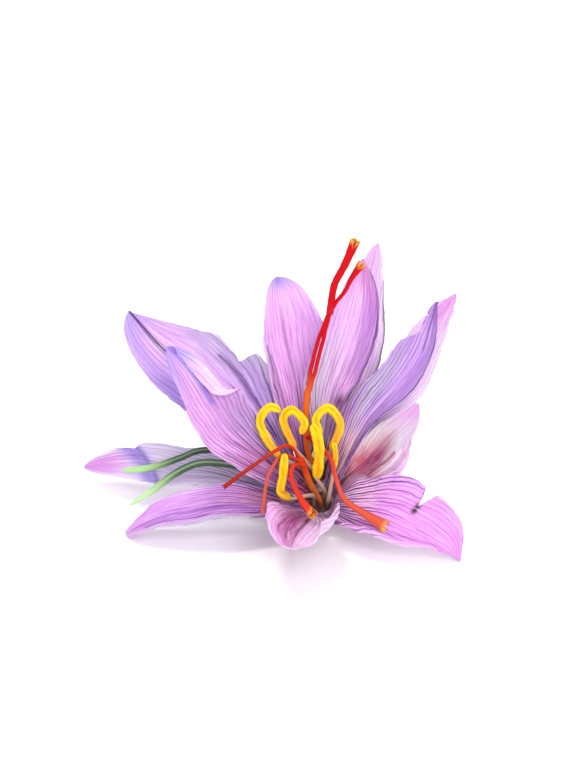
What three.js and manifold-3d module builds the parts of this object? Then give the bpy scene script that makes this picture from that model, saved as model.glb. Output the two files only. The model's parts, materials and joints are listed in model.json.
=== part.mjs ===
import * as THREE from "three";
import ManifoldModule from "manifold-3d";

// Two saffron crocus blooms picked together, with two young leaves and the papery sheath
// that their tubes grow through. Millimetres, +Z up, the viewer of the photograph at -Y.
// The bloom lies on the surface Z = 0, on its sheath and on two drooping tepal tips.

// Driving dimensions, all in millimetres and degrees
const BLOOM_TILT = 35;          // how far both blooms lean towards the viewer
const REAR_THROAT = [-0.4, 2.6, 10.2];
const FRONT_THROAT = [0.6, -2.6, 6.6];
const BLADE = 0.6;              // thickness of tepals, leaves and sheath
const CLAW = 0.95;              // half width of a tepal where it leaves the throat
const INNER_RING = { radius: 2.3, lift: 0.4 };
const OUTER_RING = { radius: 3.25, lift: -1.2 };
const ROOT_LENGTH = 2.4;        // length over which a tepal keeps its root direction
const BLADE_STEPS = 12;         // along a tepal
const BLADE_COLUMNS = 8;        // across a tepal

const TUBE_RADIUS = 1.3;
const TUBE_WALL = 0.55;
const THROAT_RADIUS = 2.6;
const THROAT_DEPTH = 6;
const TUBE_SIDES = 10;
const CUT_END = 42;             // Y of the cut ends behind the blooms
const TUBE_SPACING = 3.1;       // between the two tubes inside the sheath
const TUBE_HEIGHT = 2.2;        // of their centres above the surface

const SHEATH = { mouth: 18, end: 39.5, width: 8.8, height: 6.2, centre: 2.6, lip: 3.5, tear: 0.7, narrowing: 0.06 };
const SWAY = 2.5;               // how far the cut ends bend aside

const FILAMENT_RADIUS = 0.35;
const ANTHER_WIDTH = 1.5;
const ANTHER_DEPTH = 1.1;
const LEAF_WIDTH = 1.6;
const LEAF_HEIGHT = 4.2;        // of the leaves above the surface, on top of the tubes
const GAP = 0.3;                // clearance that keeps neighbouring pieces apart

// Colours
const LILAC = 0xc79bd6;
const PALE_LILAC = 0xd5c3e6;
const THROAT_GREY = 0xb9a3a8;
const SHEATH_CREAM = 0xe6dcc3;
const LEAF_GREEN = 0x3f5c36;
const ANTHER_YELLOW = 0xf2c21a;
const FILAMENT_WHITE = 0xe9dccf;
const STIGMA_RED = 0xd8330f;

// The tepals. Each follows a path of points from its root to its tip. left and right hold
// the widest half width, where along the tepal it lies, how full the tip is and, where it
// differs, how slender the claw is. face says which way the inner surface looks at the near part, the middle and the tip. cup curls the
// margins inwards and keel folds the blade along its midrib, in degrees at root, middle, tip.
const TOWARDS_VIEWER = [0, -0.57, 0.82];
const TEPALS = [
  {
    name: "rear_tepal_left", bloom: "rear", azimuth: 170, flare: 60,
    path: [[-16.2, 7.5, 20.4], [-23.4, 10.5, 27.2], [-29.5, 12.5, 31.6], [-35.7, 14, 38.9]],
    left: [7.6, 0.66, 0.65], right: [8.4, 0.56, 0.7],
    face: [[0.3, -0.6, 0.7], [0.2, -0.6, 0.75], TOWARDS_VIEWER],
    cup: [24, 14, 8], keel: [0, 8, 16], wave: 0.5, notch: { side: 1, at: 0.56, reach: 0.06, depth: 0.25 }
  },
  {
    name: "rear_tepal_back", bloom: "rear", azimuth: 123, flare: 45,
    path: [[-3.5, 10.6, 23.2], [-5.3, 12.9, 32.4], [-6.4, 13.5, 39.8], [-7.6, 15, 45.5]],
    left: [5, 0.58, 0.65], right: [8, 0.52, 0.75],
    face: [TOWARDS_VIEWER, TOWARDS_VIEWER, TOWARDS_VIEWER],
    cup: [24, 25, 20], keel: [0, 0, 0], wave: 0.3
  },
  {
    name: "rear_tepal_tall", bloom: "rear", azimuth: 70, flare: 40,
    path: [[2.9, 7, 24.6], [6.4, 9, 34], [8.1, 11, 42.3], [8.5, 13, 50]],
    left: [6.4, 0.48, 0.85], right: [4.6, 0.62, 0.8],
    face: [TOWARDS_VIEWER, TOWARDS_VIEWER, TOWARDS_VIEWER],
    cup: [24, 30, 25], keel: [0, 0, 0], wave: 0.3
  },
  {
    name: "rear_tepal_tall_outer", bloom: "rear", azimuth: 64, flare: 60, outer: true,
    path: [[4.7, 13, 21.8], [7.2, 16.5, 30.8], [8.7, 19.5, 39.9], [11.7, 21.5, 49.8]],
    left: [4.9, 0.53, 0.76], right: [5.9, 0.52, 0.78],
    face: [TOWARDS_VIEWER, TOWARDS_VIEWER, TOWARDS_VIEWER],
    cup: [24, 25, 20], keel: [0, 0, 0], wave: 0.3
  },
  {
    name: "rear_tepal_right", bloom: "rear", azimuth: 22, flare: 70,
    path: [[10.9, 12, 16.7], [16.9, 15, 22.5], [21.3, 18, 31.1], [26.8, 20, 39.9]],
    left: [4.4, 0.58, 0.55], right: [6.1, 0.48, 0.9],
    face: [[-0.2, -0.6, 0.75], [-0.2, -0.7, 0.7], [-0.2, -0.7, 0.7]],
    cup: [24, 25, 20], keel: [0, 0, 0], wave: 0.4
  },
  {
    name: "rear_tepal_low_right", bloom: "rear", azimuth: -5, flare: 90, outer: true,
    path: [[10.9, 12.5, 9.1], [14.3, 17, 11.5], [18, 20.5, 13.2], [20.5, 23, 14.9]],
    left: [6, 0.6, 0.55], right: [6.1, 0.42, 0.75],
    face: [TOWARDS_VIEWER, TOWARDS_VIEWER, TOWARDS_VIEWER],
    cup: [24, 30, 25], keel: [0, 0, 0], wave: 0.4
  },
  {
    name: "front_tepal_left", bloom: "front", azimuth: 147, flare: 45,
    path: [[-14.8, -3, 20.5], [-19.3, -4.5, 27.8], [-23.4, -5.5, 35.2], [-27.5, -5, 39.9]],
    left: [7.2, 0.58, 0.68, 1], right: [5, 0.5, 0.55],
    face: [[0.2, -0.6, 0.75], [0.2, -0.6, 0.75], [0.2, -0.6, 0.75]],
    cup: [24, 35, 30], keel: [0, 0, 0], wave: 0.4
  },
  {
    name: "front_tepal_right", bloom: "front", azimuth: 50, flare: 50,
    path: [[9.5, 4.5, 20.1], [14.8, 6.5, 25.9], [19.4, 8.5, 32.8], [22.6, 10, 42.5]],
    left: [5, 0.65, 0.85], right: [4.4, 0.7, 0.75],
    face: [[-0.2, -0.6, 0.75], [-0.2, -0.7, 0.7], [-0.2, -0.7, 0.7]],
    cup: [24, 25, 20], keel: [0, 30, 35], wave: 0.4
  },
  {
    name: "front_tepal_low_right", bloom: "front", azimuth: -20, flare: 70,
    path: [[12.4, -9, 8.1], [17.5, -11.5, 6.7], [22.6, -13.5, 4.4], [26.4, -14, 0.4]],
    left: [8, 0.56, 0.75, 1.1], right: [3.8, 0.52, 0.9, 1.1],
    face: [TOWARDS_VIEWER, TOWARDS_VIEWER, TOWARDS_VIEWER],
    cup: [24, 12, 10], keel: [0, 0, 0], wave: 0.4, notch: { side: -1, at: 0.7, reach: 0.06, depth: 0.35 }
  },
  {
    name: "front_tepal_low_left_outer", bloom: "front", azimuth: 165, flare: 90, outer: true,
    path: [[-18.3, 9, 6.3], [-27, 12.5, 5.6], [-36.2, 15.5, 5.2], [-45.8, 17, 4.1]],
    left: [5.9, 0.68, 0.76], right: [4.5, 0.64, 0.72],
    face: [TOWARDS_VIEWER, TOWARDS_VIEWER, TOWARDS_VIEWER],
    cup: [24, 20, 20], keel: [0, 20, 25], wave: 0.4
  },
  {
    name: "front_tepal_low_left", bloom: "front", azimuth: 198, flare: 75,
    path: [[-17.1, -5.5, 8.1], [-24.1, -5.5, 7], [-30.3, -4.5, 4.8], [-36.3, -3, 0.4]],
    left: [3.2, 0.53, 0.5], right: [4.6, 0.42, 0.56],
    face: [[0, -0.3, 0.95], [0, -0.3, 0.95], [0, -0.3, 0.95]],
    cup: [24, 20, 15], keel: [0, 0, 0], wave: 0.3
  },
  {
    name: "front_tepal_tongue", bloom: "front", azimuth: 252, flare: 45,
    path: [[-1.9, -16, 9.8], [-3.5, -23, 11.5], [-4.7, -29, 12.4], [-5, -32, 13.1]],
    left: [6.5, 0.5, 0.6, 1.1], right: [8, 0.42, 0.7, 1.1],
    face: [TOWARDS_VIEWER, TOWARDS_VIEWER, TOWARDS_VIEWER],
    cup: [24, 25, 20], keel: [0, 0, 0], wave: 0.3
  }
];

// Stamens: a filament from the throat to the first point, and an anther along the rest
const STAMENS = [
  { name: "rear_left", bloom: "rear", azimuth: 200, bend: [-3.2, -1.6, 13.6],
    anther: [[-7, -3, 16.4], [-9.4, -3, 20.1], [-10.7, -2.6, 23.8], [-9, -2, 26.3], [-6.8, -2, 25.6]] },
  { name: "rear_middle", bloom: "rear", azimuth: 270,
    anther: [[-4.2, 0, 16.7], [-6.4, 0, 22.5], [-4.8, 0, 24.8], [-2.5, -0.4, 22.5], [-3.1, -1, 20.2]] },
  { name: "rear_right", bloom: "rear", azimuth: 30,
    anther: [[2.6, 0.5, 16], [4.3, 0.5, 21.5], [2, 0.5, 25], [-0.3, -0.2, 22.9], [0.7, -1, 20.2]] },
  { name: "front_right", bloom: "front", azimuth: 60,
    anther: [[-0.1, -4, 12.4], [0.3, -4, 17.2], [0, -3.8, 20.7], [-1, -3.4, 23.5]] },
  { name: "front_left", bloom: "front", azimuth: 180,
    anther: [[-4.9, -8, 10.3], [-6.8, -9, 12.3], [-6.4, -8.5, 15.6], [-6.1, -8, 19.7]] },
  { name: "front_hidden", bloom: "front", azimuth: 0,
    anther: [[3.4, -1.5, 12.5], [3.9, -2, 16], [3.2, -2.5, 19.2]] }
];

// Styles with their three stigma branches. Every branch starts inside the stem, keeps its
// radius for the first half and widens to the radius of its trumpet mouth.
const STYLES = [
  {
    name: "rear_style_and_stigmas", bloom: "rear", radius: 0.65,
    stem: [[-1, 1.4, 12.5], [-2, 1.8, 17.4], [-2, 2.5, 25.7], [-1.4, 2.8, 28.7], [0.1, 3, 35.8], [2.3, 3.5, 43.6]],
    branches: [
      { radius: 0.65, mouth: 1, path: [[2, 3.4, 42.8], [3.7, 3.1, 47.7], [4.9, 2.8, 52.8], [6.3, 2.6, 57.7]] },
      { radius: 0.5, mouth: 0.9, path: [[1.8, 3.4, 42.2], [3.3, 3.7, 46.6], [5.2, 4, 49], [7.9, 4.5, 52.2]] },
      { radius: 0.45, mouth: 1.4, path: [[-2, 1.9, 18.2], [-0.8, -0.6, 18.9], [2.2, -4, 17.2], [3.3, -7, 14.4],
        [4.9, -9.5, 11.1], [8.4, -12, 9.6], [12, -14.5, 8.6]] }
    ]
  },
  {
    name: "front_style_and_stigmas", bloom: "front", radius: 0.5,
    stem: [[-0.2, -3.4, 9], [-1.6, -3.6, 12], [-3.1, -3.6, 16.9]],
    branches: [
      { radius: 0.35, mouth: 0.5, path: [[-2.9, -3.6, 16.3], [-5.3, -5, 19.8], [-7.9, -6.5, 19.5],
        [-12.5, -8.5, 17], [-17.3, -10, 13.8]] },
      { radius: 0.35, mouth: 0.45, path: [[-2.7, -3.6, 15.7], [-6.4, -6, 18.4], [-8.8, -9, 16.4],
        [-9.6, -10.5, 13.9], [-10.1, -12, 9.5]] },
      { radius: 0.45, mouth: 1.25, path: [[-2.5, -3.6, 15], [-4.4, -7, 16.8], [-4.9, -10, 15.7],
        [-3.1, -15, 13.8], [-1.1, -18, 12.4]] }
    ]
  }
];

// Leaves, from the cut end through the sheath and out to the left of the blooms
const LEAVES = [
  {
    name: "upper_leaf",
    offset: -1.1,
    path: [[-1.3, 17, 4.4], [-5, 11.5, 8], [-12, 8.6, 11.5],
      [-21.6, 7, 12.9], [-26.3, 8, 10.7], [-31.4, 8, 8.8], [-37.6, 8, 7.9]]
  },
  {
    name: "lower_leaf",
    offset: 1.1,
    path: [[0.4, 16, 4.8], [-3.6, 9, 8.4], [-9.5, 3, 10.7],
      [-15.8, 3, 11.8], [-22.1, 3, 12.2], [-26.9, 3, 10], [-31.3, 2, 6.9], [-35.6, 0, 4.7]]
  }
];

// Helpers
const rad = (degrees) => THREE.MathUtils.degToRad(degrees);
const vec = (p) => new THREE.Vector3(p[0], p[1], p[2]);
const smooth = (x) => {
  const c = THREE.MathUtils.clamp(x, 0, 1);
  return c * c * (3 - 2 * c);
};
const atThree = (values, t) => (t < 0.5
  ? THREE.MathUtils.lerp(values[0], values[1], t * 2)
  : THREE.MathUtils.lerp(values[1], values[2], t * 2 - 1));

const AXIS = new THREE.Vector3(0, -Math.sin(rad(BLOOM_TILT)), Math.cos(rad(BLOOM_TILT)));
const ACROSS = new THREE.Vector3(1, 0, 0);
const BEHIND = new THREE.Vector3().crossVectors(AXIS, ACROSS);
const THROATS = { rear: vec(REAR_THROAT), front: vec(FRONT_THROAT) };

// The tubes, leaves and sheath bend gently aside towards their cut ends
const sway = (y) => SWAY * smooth((y - 14) / (CUT_END - 14));

function radial(azimuth) {
  return ACROSS.clone().multiplyScalar(Math.cos(rad(azimuth))).addScaledVector(BEHIND, Math.sin(rad(azimuth)));
}

function smoothPath(points) {
  const curve = new THREE.CatmullRomCurve3(points, false, "catmullrom", 0.5);
  curve.arcLengthDivisions = 400;
  return curve;
}

function meshGeometry(points, faces) {
  const geometry = new THREE.BufferGeometry();
  const positions = new Float32Array(points.length * 3);
  points.forEach((p, i) => positions.set([p.x, p.y, p.z], i * 3));
  geometry.setAttribute("position", new THREE.BufferAttribute(positions, 3));
  geometry.setIndex(faces.flat());
  geometry.computeVertexNormals();
  return geometry;
}

// A tepal blade: a sheet laid over its path, then thickened along its own normals
function rootOf(tepal) {
  const ring = tepal.outer ? OUTER_RING : INNER_RING;
  const out = radial(tepal.azimuth);
  const base = THROATS[tepal.bloom].clone().addScaledVector(out, ring.radius).addScaledVector(AXIS, ring.lift);
  const along = AXIS.clone().multiplyScalar(Math.cos(rad(tepal.flare)))
    .addScaledVector(out, Math.sin(rad(tepal.flare)));
  return { out, base, next: base.clone().addScaledVector(along, ROOT_LENGTH) };
}

function halfWidth([widest, where, fullness, slender = 1.4], t) {
  const claw = CLAW / widest;
  const rise = claw + (1 - claw) * Math.sin(Math.PI / 2 * Math.min(t / where, 1)) ** slender;
  const beyond = THREE.MathUtils.clamp((t - where) / (1 - where), 0, 1);
  return widest * (t < where ? rise : Math.max(1 - beyond * beyond, 0) ** fullness);
}

function facing(tepal, out, t) {
  const stops = [0, 0.25, 0.625, 1];
  const looks = [out.clone().negate(), ...tepal.face.map(vec)];
  let i = 0;
  while (i < 2 && t > stops[i + 1]) i += 1;
  return looks[i].clone().lerp(looks[i + 1], (t - stops[i]) / (stops[i + 1] - stops[i]));
}

function foldedSection(tepal, t, s) {
  const steps = 40;
  let x = 0;
  let z = 0;
  let before = null;
  for (let k = 0; k <= steps; k += 1) {
    const u = s * k / steps;
    const angle = rad(atThree(tepal.keel, t)) * smooth(u / 0.15) + rad(atThree(tepal.cup, t)) * u;
    if (before !== null) {
      x += (Math.cos(angle) + Math.cos(before)) / 2 * s / steps;
      z += (Math.sin(angle) + Math.sin(before)) / 2 * s / steps;
    }
    before = angle;
  }
  return { x, z };
}

function bladeSheet(tepal) {
  const { out, base, next } = rootOf(tepal);
  const curve = smoothPath([base, next, ...tepal.path.map(vec)]);
  const rows = [];
  for (let i = 0; i <= BLADE_STEPS; i += 1) {
    const t = i / BLADE_STEPS;
    const centre = curve.getPointAt(t);
    const tangent = curve.getTangentAt(t);
    const look = facing(tepal, out, t);
    const normal = look.addScaledVector(tangent, -look.dot(tangent)).normalize();
    const side = new THREE.Vector3().crossVectors(tangent, normal);
    const row = [];
    for (let j = 0; j <= BLADE_COLUMNS; j += 1) {
      const s = j / BLADE_COLUMNS * 2 - 1;
      const half = s < 0 ? tepal.left : tepal.right;
      let width = halfWidth(half, t);
      const notch = tepal.notch;
      if (notch && Math.sign(s) === notch.side) {
        width *= 1 - notch.depth * Math.max(0, 1 - Math.abs(t - notch.at) / notch.reach);
      }
      width = Math.max(width, 0.4);
      const section = foldedSection(tepal, t, Math.abs(s));
      const ripple = tepal.wave * s * s * Math.sin(5 * Math.PI * t + (s < 0 ? 1 : 2.6))
        * smooth(t / 0.3) * Math.min(1, width / 3);
      row.push(centre.clone()
        .addScaledVector(side, Math.sign(s) * section.x * width)
        .addScaledVector(normal, section.z * width + ripple));
    }
    rows.push(row);
  }
  return rows;
}

function thickSheet(rows, thickness) {
  const high = rows.length;
  const wide = rows[0].length;
  const normals = rows.map((row, i) => row.map((_, j) => {
    const along = rows[Math.min(i + 1, high - 1)][j].clone().sub(rows[Math.max(i - 1, 0)][j]);
    const across = rows[i][Math.min(j + 1, wide - 1)].clone().sub(rows[i][Math.max(j - 1, 0)]);
    return along.cross(across).normalize();
  }));
  const points = [];
  [0.5, -0.5].forEach((sign) => rows.forEach((row, i) => row.forEach((p, j) => {
    points.push(p.clone().addScaledVector(normals[i][j], sign * thickness));
  })));
  const back = high * wide;
  const at = (i, j) => i * wide + j;
  const faces = [];
  for (let i = 0; i < high - 1; i += 1) {
    for (let j = 0; j < wide - 1; j += 1) {
      const [p, q, r, u] = [at(i, j), at(i, j + 1), at(i + 1, j + 1), at(i + 1, j)];
      faces.push([p, r, q], [p, u, r], [p + back, q + back, r + back], [p + back, r + back, u + back]);
    }
  }
  const rim = [];
  for (let j = 0; j < wide; j += 1) rim.push(at(0, j));
  for (let i = 1; i < high; i += 1) rim.push(at(i, wide - 1));
  for (let j = wide - 2; j >= 0; j -= 1) rim.push(at(high - 1, j));
  for (let i = high - 2; i > 0; i -= 1) rim.push(at(i, 0));
  rim.forEach((p, k) => {
    const q = rim[(k + 1) % rim.length];
    faces.push([p, q, q + back], [p, q + back, p + back]);
  });
  return meshGeometry(points, faces);
}

// A swept rod: rings round a path with a radius along it, closed by a flat end each
function frames(curve, steps, up) {
  const list = [];
  for (let i = 0; i <= steps; i += 1) {
    const t = i / steps;
    const tangent = curve.getTangentAt(t);
    const guide = up.clone().addScaledVector(tangent, -up.dot(tangent)).normalize();
    list.push({ t, centre: curve.getPointAt(t), guide, side: new THREE.Vector3().crossVectors(tangent, guide) });
  }
  return list;
}

function sweptRod(path, steps, sides, section, up = TOWARDS_VIEWER) {
  const curve = smoothPath(path);
  const points = [];
  frames(curve, steps, vec(up)).forEach(({ t, centre, guide, side }) => {
    for (let k = 0; k < sides; k += 1) {
      const angle = 2 * Math.PI * k / sides;
      const { x, y } = section(t, angle);
      points.push(centre.clone().addScaledVector(side, x).addScaledVector(guide, y));
    }
  });
  const faces = [];
  for (let i = 0; i < steps; i += 1) {
    for (let k = 0; k < sides; k += 1) {
      const n = (k + 1) % sides;
      const [p, q, r, u] = [i * sides + k, i * sides + n, (i + 1) * sides + n, (i + 1) * sides + k];
      faces.push([p, r, q], [p, u, r]);
    }
  }
  const last = steps * sides;
  for (let k = 1; k < sides - 1; k += 1) {
    faces.push([0, k, k + 1], [last, last + k + 1, last + k]);
  }
  return meshGeometry(points, faces);
}

function roundRod(path, steps, sides, radiusAt) {
  return sweptRod(path, steps, sides, (t, angle) => ({
    x: radiusAt(t) * Math.cos(angle),
    y: radiusAt(t) * Math.sin(angle)
  }));
}

// A hollow sleeve: an outer and an inner ring at every step, joined at both ends
function hollowSleeve(outer, inner) {
  const steps = outer.length - 1;
  const sides = outer[0].length;
  const points = [...outer.flat(), ...inner.flat()];
  const shift = outer.length * sides;
  const faces = [];
  for (let i = 0; i < steps; i += 1) {
    for (let k = 0; k < sides; k += 1) {
      const n = (k + 1) % sides;
      const [p, q, r, u] = [i * sides + k, i * sides + n, (i + 1) * sides + n, (i + 1) * sides + k];
      faces.push([p, r, q], [p, u, r], [p + shift, q + shift, r + shift], [p + shift, r + shift, u + shift]);
    }
  }
  const last = steps * sides;
  for (let k = 0; k < sides; k += 1) {
    const n = (k + 1) % sides;
    faces.push([k, n, n + shift], [k, n + shift, k + shift]);
    faces.push([last + k, last + n + shift, last + n], [last + k, last + k + shift, last + n + shift]);
  }
  return meshGeometry(points, faces);
}

// The long tube below each bloom widens to a throat at the top
function tubePath(bloom) {
  const throat = THROATS[bloom];
  const sideways = bloom === "rear" ? -TUBE_SPACING / 2 : TUBE_SPACING / 2;
  const bend = bloom === "rear"
    ? [throat.clone().addScaledVector(AXIS, -4), new THREE.Vector3(-0.9, 7.2, 4.4), new THREE.Vector3(-1.3, 12, 2.6)]
    : [throat.clone().addScaledVector(AXIS, -3), new THREE.Vector3(1.3, 2.4, 2.2), new THREE.Vector3(1.6, 8, 2.2)];
  const laid = [18, 24, 30, 36, CUT_END].map((y) => new THREE.Vector3(sideways + sway(y), y, TUBE_HEIGHT));
  return [throat.clone(), ...bend, ...laid];
}

function tubeRadius(distance) {
  const u = THREE.MathUtils.clamp(1 - distance / THROAT_DEPTH, 0, 1);
  return TUBE_RADIUS + (THROAT_RADIUS - TUBE_RADIUS) * u ** 1.6;
}

function tubeGeometry(bloom) {
  const curve = smoothPath(tubePath(bloom));
  const length = curve.getLength();
  const stations = [0, 1, 2, 3, 4.5, 6, 7.5, 9, 11, 13.5, 16, 19, 23, 28, 34, length];
  const rings = (wall) => stations.map((d) => {
    const t = Math.min(d / length, 1);
    const tangent = curve.getTangentAt(t);
    const guide = BEHIND.clone().addScaledVector(tangent, -BEHIND.dot(tangent)).normalize();
    const side = new THREE.Vector3().crossVectors(tangent, guide);
    const radius = tubeRadius(d) - wall;
    return Array.from({ length: TUBE_SIDES }, (_, k) => {
      const angle = 2 * Math.PI * k / TUBE_SIDES;
      return curve.getPointAt(t).addScaledVector(side, radius * Math.cos(angle))
        .addScaledVector(guide, radius * Math.sin(angle));
    });
  });
  return hollowSleeve(rings(0), rings(TUBE_WALL));
}

// The papery sheath: an oval sleeve with a flat underside and a longer lip below
function sheathGeometry() {
  const sides = 20;
  const steps = 6;
  const rings = (wall) => Array.from({ length: steps + 1 }, (_, i) => {
    const v = i / steps;
    const bulge = 1 - SHEATH.narrowing * Math.cos(2 * Math.PI * v);
    return Array.from({ length: sides }, (_unused, k) => {
      const angle = 2 * Math.PI * (k + 0.5) / sides;
      const up = Math.sin(angle);
      const mouth = SHEATH.mouth - SHEATH.lip * smooth((0.2 - up) / 1.2) + SHEATH.tear * Math.sin(3 * angle);
      const y = THREE.MathUtils.lerp(mouth, SHEATH.end, v);
      const x = sway(y) + (SHEATH.width / 2 * bulge - wall) * Math.cos(angle);
      const z = Math.max(SHEATH.centre + (SHEATH.height / 2 * bulge - wall) * up, wall);
      return new THREE.Vector3(x, y, z);
    });
  });
  return hollowSleeve(rings(0), rings(BLADE));
}

// A leaf is a long narrow blade, thicker along its midrib and pointed at its tip
function leafGeometry(leaf) {
  const section = (t, angle) => {
    const taper = t < 0.86 ? 1 : Math.sqrt(Math.max(1 - ((t - 0.86) / 0.14) ** 2, 0.03));
    return { x: LEAF_WIDTH / 2 * taper * Math.cos(angle), y: (BLADE + 0.15) / 2 * Math.max(taper, 0.6) * Math.sin(angle) };
  };
  const laid = [CUT_END - 1, 34, 28, 22].map((y) => new THREE.Vector3(leaf.offset + sway(y), y, LEAF_HEIGHT));
  return sweptRod([...laid, ...leaf.path.map(vec)], 28, 6, section);
}

// Stamens
function filamentPath(stamen) {
  const out = radial(stamen.azimuth);
  const root = THROATS[stamen.bloom].clone().addScaledVector(out, 1.3).addScaledVector(AXIS, -0.2);
  const first = vec(stamen.anther[0]);
  const second = vec(stamen.anther[1]);
  const reach = first.clone().sub(root);
  const end = first.clone().addScaledVector(second.sub(first).normalize(), -GAP);
  const mid = stamen.bend
    ? vec(stamen.bend)
    : root.clone().addScaledVector(AXIS, reach.length() * 0.4).addScaledVector(out, 0.3);
  return [root, mid, end];
}

function antherSection(t, angle) {
  const end = Math.sqrt(Math.max(1 - (2 * t - 1) ** 6, 0.2));
  return { x: ANTHER_WIDTH / 2 * end * Math.cos(angle), y: ANTHER_DEPTH / 2 * end * Math.sin(angle) };
}

// Styles are joined from a stem and three branches
const manifoldLibrary = await ManifoldModule();
manifoldLibrary.setup();

function toManifold(geometry) {
  const position = geometry.getAttribute("position");
  return new manifoldLibrary.Manifold(new manifoldLibrary.Mesh({
    numProp: 3,
    vertProperties: new Float32Array(position.array),
    triVerts: new Uint32Array(geometry.getIndex().array)
  }));
}

function fromManifold(solid) {
  const mesh = solid.getMesh();
  const geometry = new THREE.BufferGeometry();
  geometry.setAttribute("position", new THREE.BufferAttribute(new Float32Array(mesh.vertProperties), 3));
  geometry.setIndex([...mesh.triVerts]);
  geometry.computeVertexNormals();
  return geometry;
}

function styleGeometry(style) {
  const throat = THROATS[style.bloom];
  const seat = throat.clone().addScaledVector(AXIS, -2.5);
  const stem = [seat, throat.clone().addScaledVector(AXIS, 0.6), ...style.stem.map(vec)];
  const stemRadius = (t) => THREE.MathUtils.lerp(0.4, style.radius, smooth(t * 2));
  const pieces = [roundRod(stem, 5 + stem.length * 2, 6, stemRadius)];
  style.branches.forEach(({ radius, mouth, path }) => {
    const widen = (t) => THREE.MathUtils.lerp(radius, mouth, Math.max(0, t * 2 - 1) ** 1.5);
    pieces.push(roundRod(path.map(vec), 4 + path.length * 2, 6, widen));
  });
  return fromManifold(pieces.map(toManifold).reduce((joined, piece) => joined.add(piece)));
}

// Assembly
const bloomPair = new THREE.Group();
bloomPair.name = "saffron_crocus_blooms";

function addPiece(name, geometry, color, roughness) {
  const mesh = new THREE.Mesh(geometry, new THREE.MeshStandardMaterial({ color, roughness }));
  mesh.name = name;
  bloomPair.add(mesh);
}

TEPALS.forEach((tepal) => {
  addPiece(tepal.name, thickSheet(bladeSheet(tepal), BLADE), tepal.outer ? PALE_LILAC : LILAC, 0.6);
});
["rear", "front"].forEach((bloom) => addPiece(`${bloom}_tube`, tubeGeometry(bloom), THROAT_GREY, 0.6));
addPiece("papery_sheath", sheathGeometry(), SHEATH_CREAM, 0.8);
LEAVES.forEach((leaf) => addPiece(leaf.name, leafGeometry(leaf), LEAF_GREEN, 0.5));
STAMENS.forEach((stamen) => {
  addPiece(`${stamen.name}_filament`, roundRod(filamentPath(stamen), 6, 5, () => FILAMENT_RADIUS), FILAMENT_WHITE, 0.6);
  const steps = stamen.anther.length > 4 ? 14 : 9;
  addPiece(`${stamen.name}_anther`, sweptRod(stamen.anther.map(vec), steps, 6, antherSection), ANTHER_YELLOW, 0.7);
});
STYLES.forEach((style) => addPiece(style.name, styleGeometry(style), STIGMA_RED, 0.5));

// The origin goes to the middle of the footprint, on the surface
const box = new THREE.Box3().setFromObject(bloomPair);
const middle = box.getCenter(new THREE.Vector3());
bloomPair.children.forEach((mesh) => mesh.geometry.translate(-middle.x, -middle.y, -box.min.z));

export default bloomPair;
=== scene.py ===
"""A picked pair of saffron crocus blooms, dressed over its fixed frame.

Every piece is a surface worked out on a grid in millimetres, in the frame that the driving
dimensions below share with the solids, then moved to the part's origin and scaled to metres.
"""

from __future__ import annotations

import json
import logging
import math
from dataclasses import dataclass, field
from enum import Enum
from typing import Sequence

import bpy
import numpy as np
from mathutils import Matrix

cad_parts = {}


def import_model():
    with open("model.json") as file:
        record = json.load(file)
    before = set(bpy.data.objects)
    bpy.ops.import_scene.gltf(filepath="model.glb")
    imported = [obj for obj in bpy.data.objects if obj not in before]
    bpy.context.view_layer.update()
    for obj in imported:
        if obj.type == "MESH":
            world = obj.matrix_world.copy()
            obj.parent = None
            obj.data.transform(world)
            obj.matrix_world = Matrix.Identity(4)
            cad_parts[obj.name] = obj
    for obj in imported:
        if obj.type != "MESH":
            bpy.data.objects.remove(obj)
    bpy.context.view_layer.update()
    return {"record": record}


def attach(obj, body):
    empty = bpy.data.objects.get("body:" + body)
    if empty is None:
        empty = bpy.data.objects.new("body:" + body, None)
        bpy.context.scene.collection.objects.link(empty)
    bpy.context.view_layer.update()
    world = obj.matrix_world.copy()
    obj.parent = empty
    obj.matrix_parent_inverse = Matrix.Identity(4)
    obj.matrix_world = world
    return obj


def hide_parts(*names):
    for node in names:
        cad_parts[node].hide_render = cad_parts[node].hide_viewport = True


LOG = logging.getLogger("crocus")
MM = 0.001
DRESSED = "_dressed"
Point = tuple[float, float, float]

# Driving dimensions, in millimetres and degrees
BLOOM_TILT = 35.0
REAR_THROAT: Point = (-0.4, 2.6, 10.2)
FRONT_THROAT: Point = (0.6, -2.6, 6.6)
REST_POINT: Point = (1.0, 25.0, 0.0)
CLAW = 0.95
ROOT_LENGTH = 2.4
INNER_RING = (2.3, 0.4)
OUTER_RING = (3.25, -1.2)
TUBE_RADIUS = 1.3
TUBE_WALL = 0.55
THROAT_RADIUS = 2.6
THROAT_DEPTH = 6.0
CUT_END = 42.0
TUBE_SPACING = 3.1
TUBE_HEIGHT = 2.2
SWAY = 2.5
LEAF_HEIGHT = 4.2

# The photograph's view of the blooms
VIEW_ELEVATION = 25.0
VIEW_DISTANCE = 420.0
VIEW_TARGET: Point = (-5.5, 8.49, 26.22)
MM_PER_PIXEL = 0.19
PHOTO_HEIGHT = 768
SENSOR = 36.0

TOWARDS_VIEWER: Point = (0.0, -0.57, 0.82)


class Bloom(Enum):
    """Which of the two nested blooms a piece grows from."""

    REAR = "rear"
    FRONT = "front"


class Side(Enum):
    """The face of a thin blade: the one that the bloom holds inwards, its back, or both."""

    INNER = "inner"
    OUTER = "outer"
    BOTH = "both"


# Small maths helpers

def smooth(x: np.ndarray | float) -> np.ndarray:
    """Eases from 0 to 1: x squared times (3 - 2x), held at the ends."""
    c = np.clip(x, 0.0, 1.0)
    return c * c * (3.0 - 2.0 * c)


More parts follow.
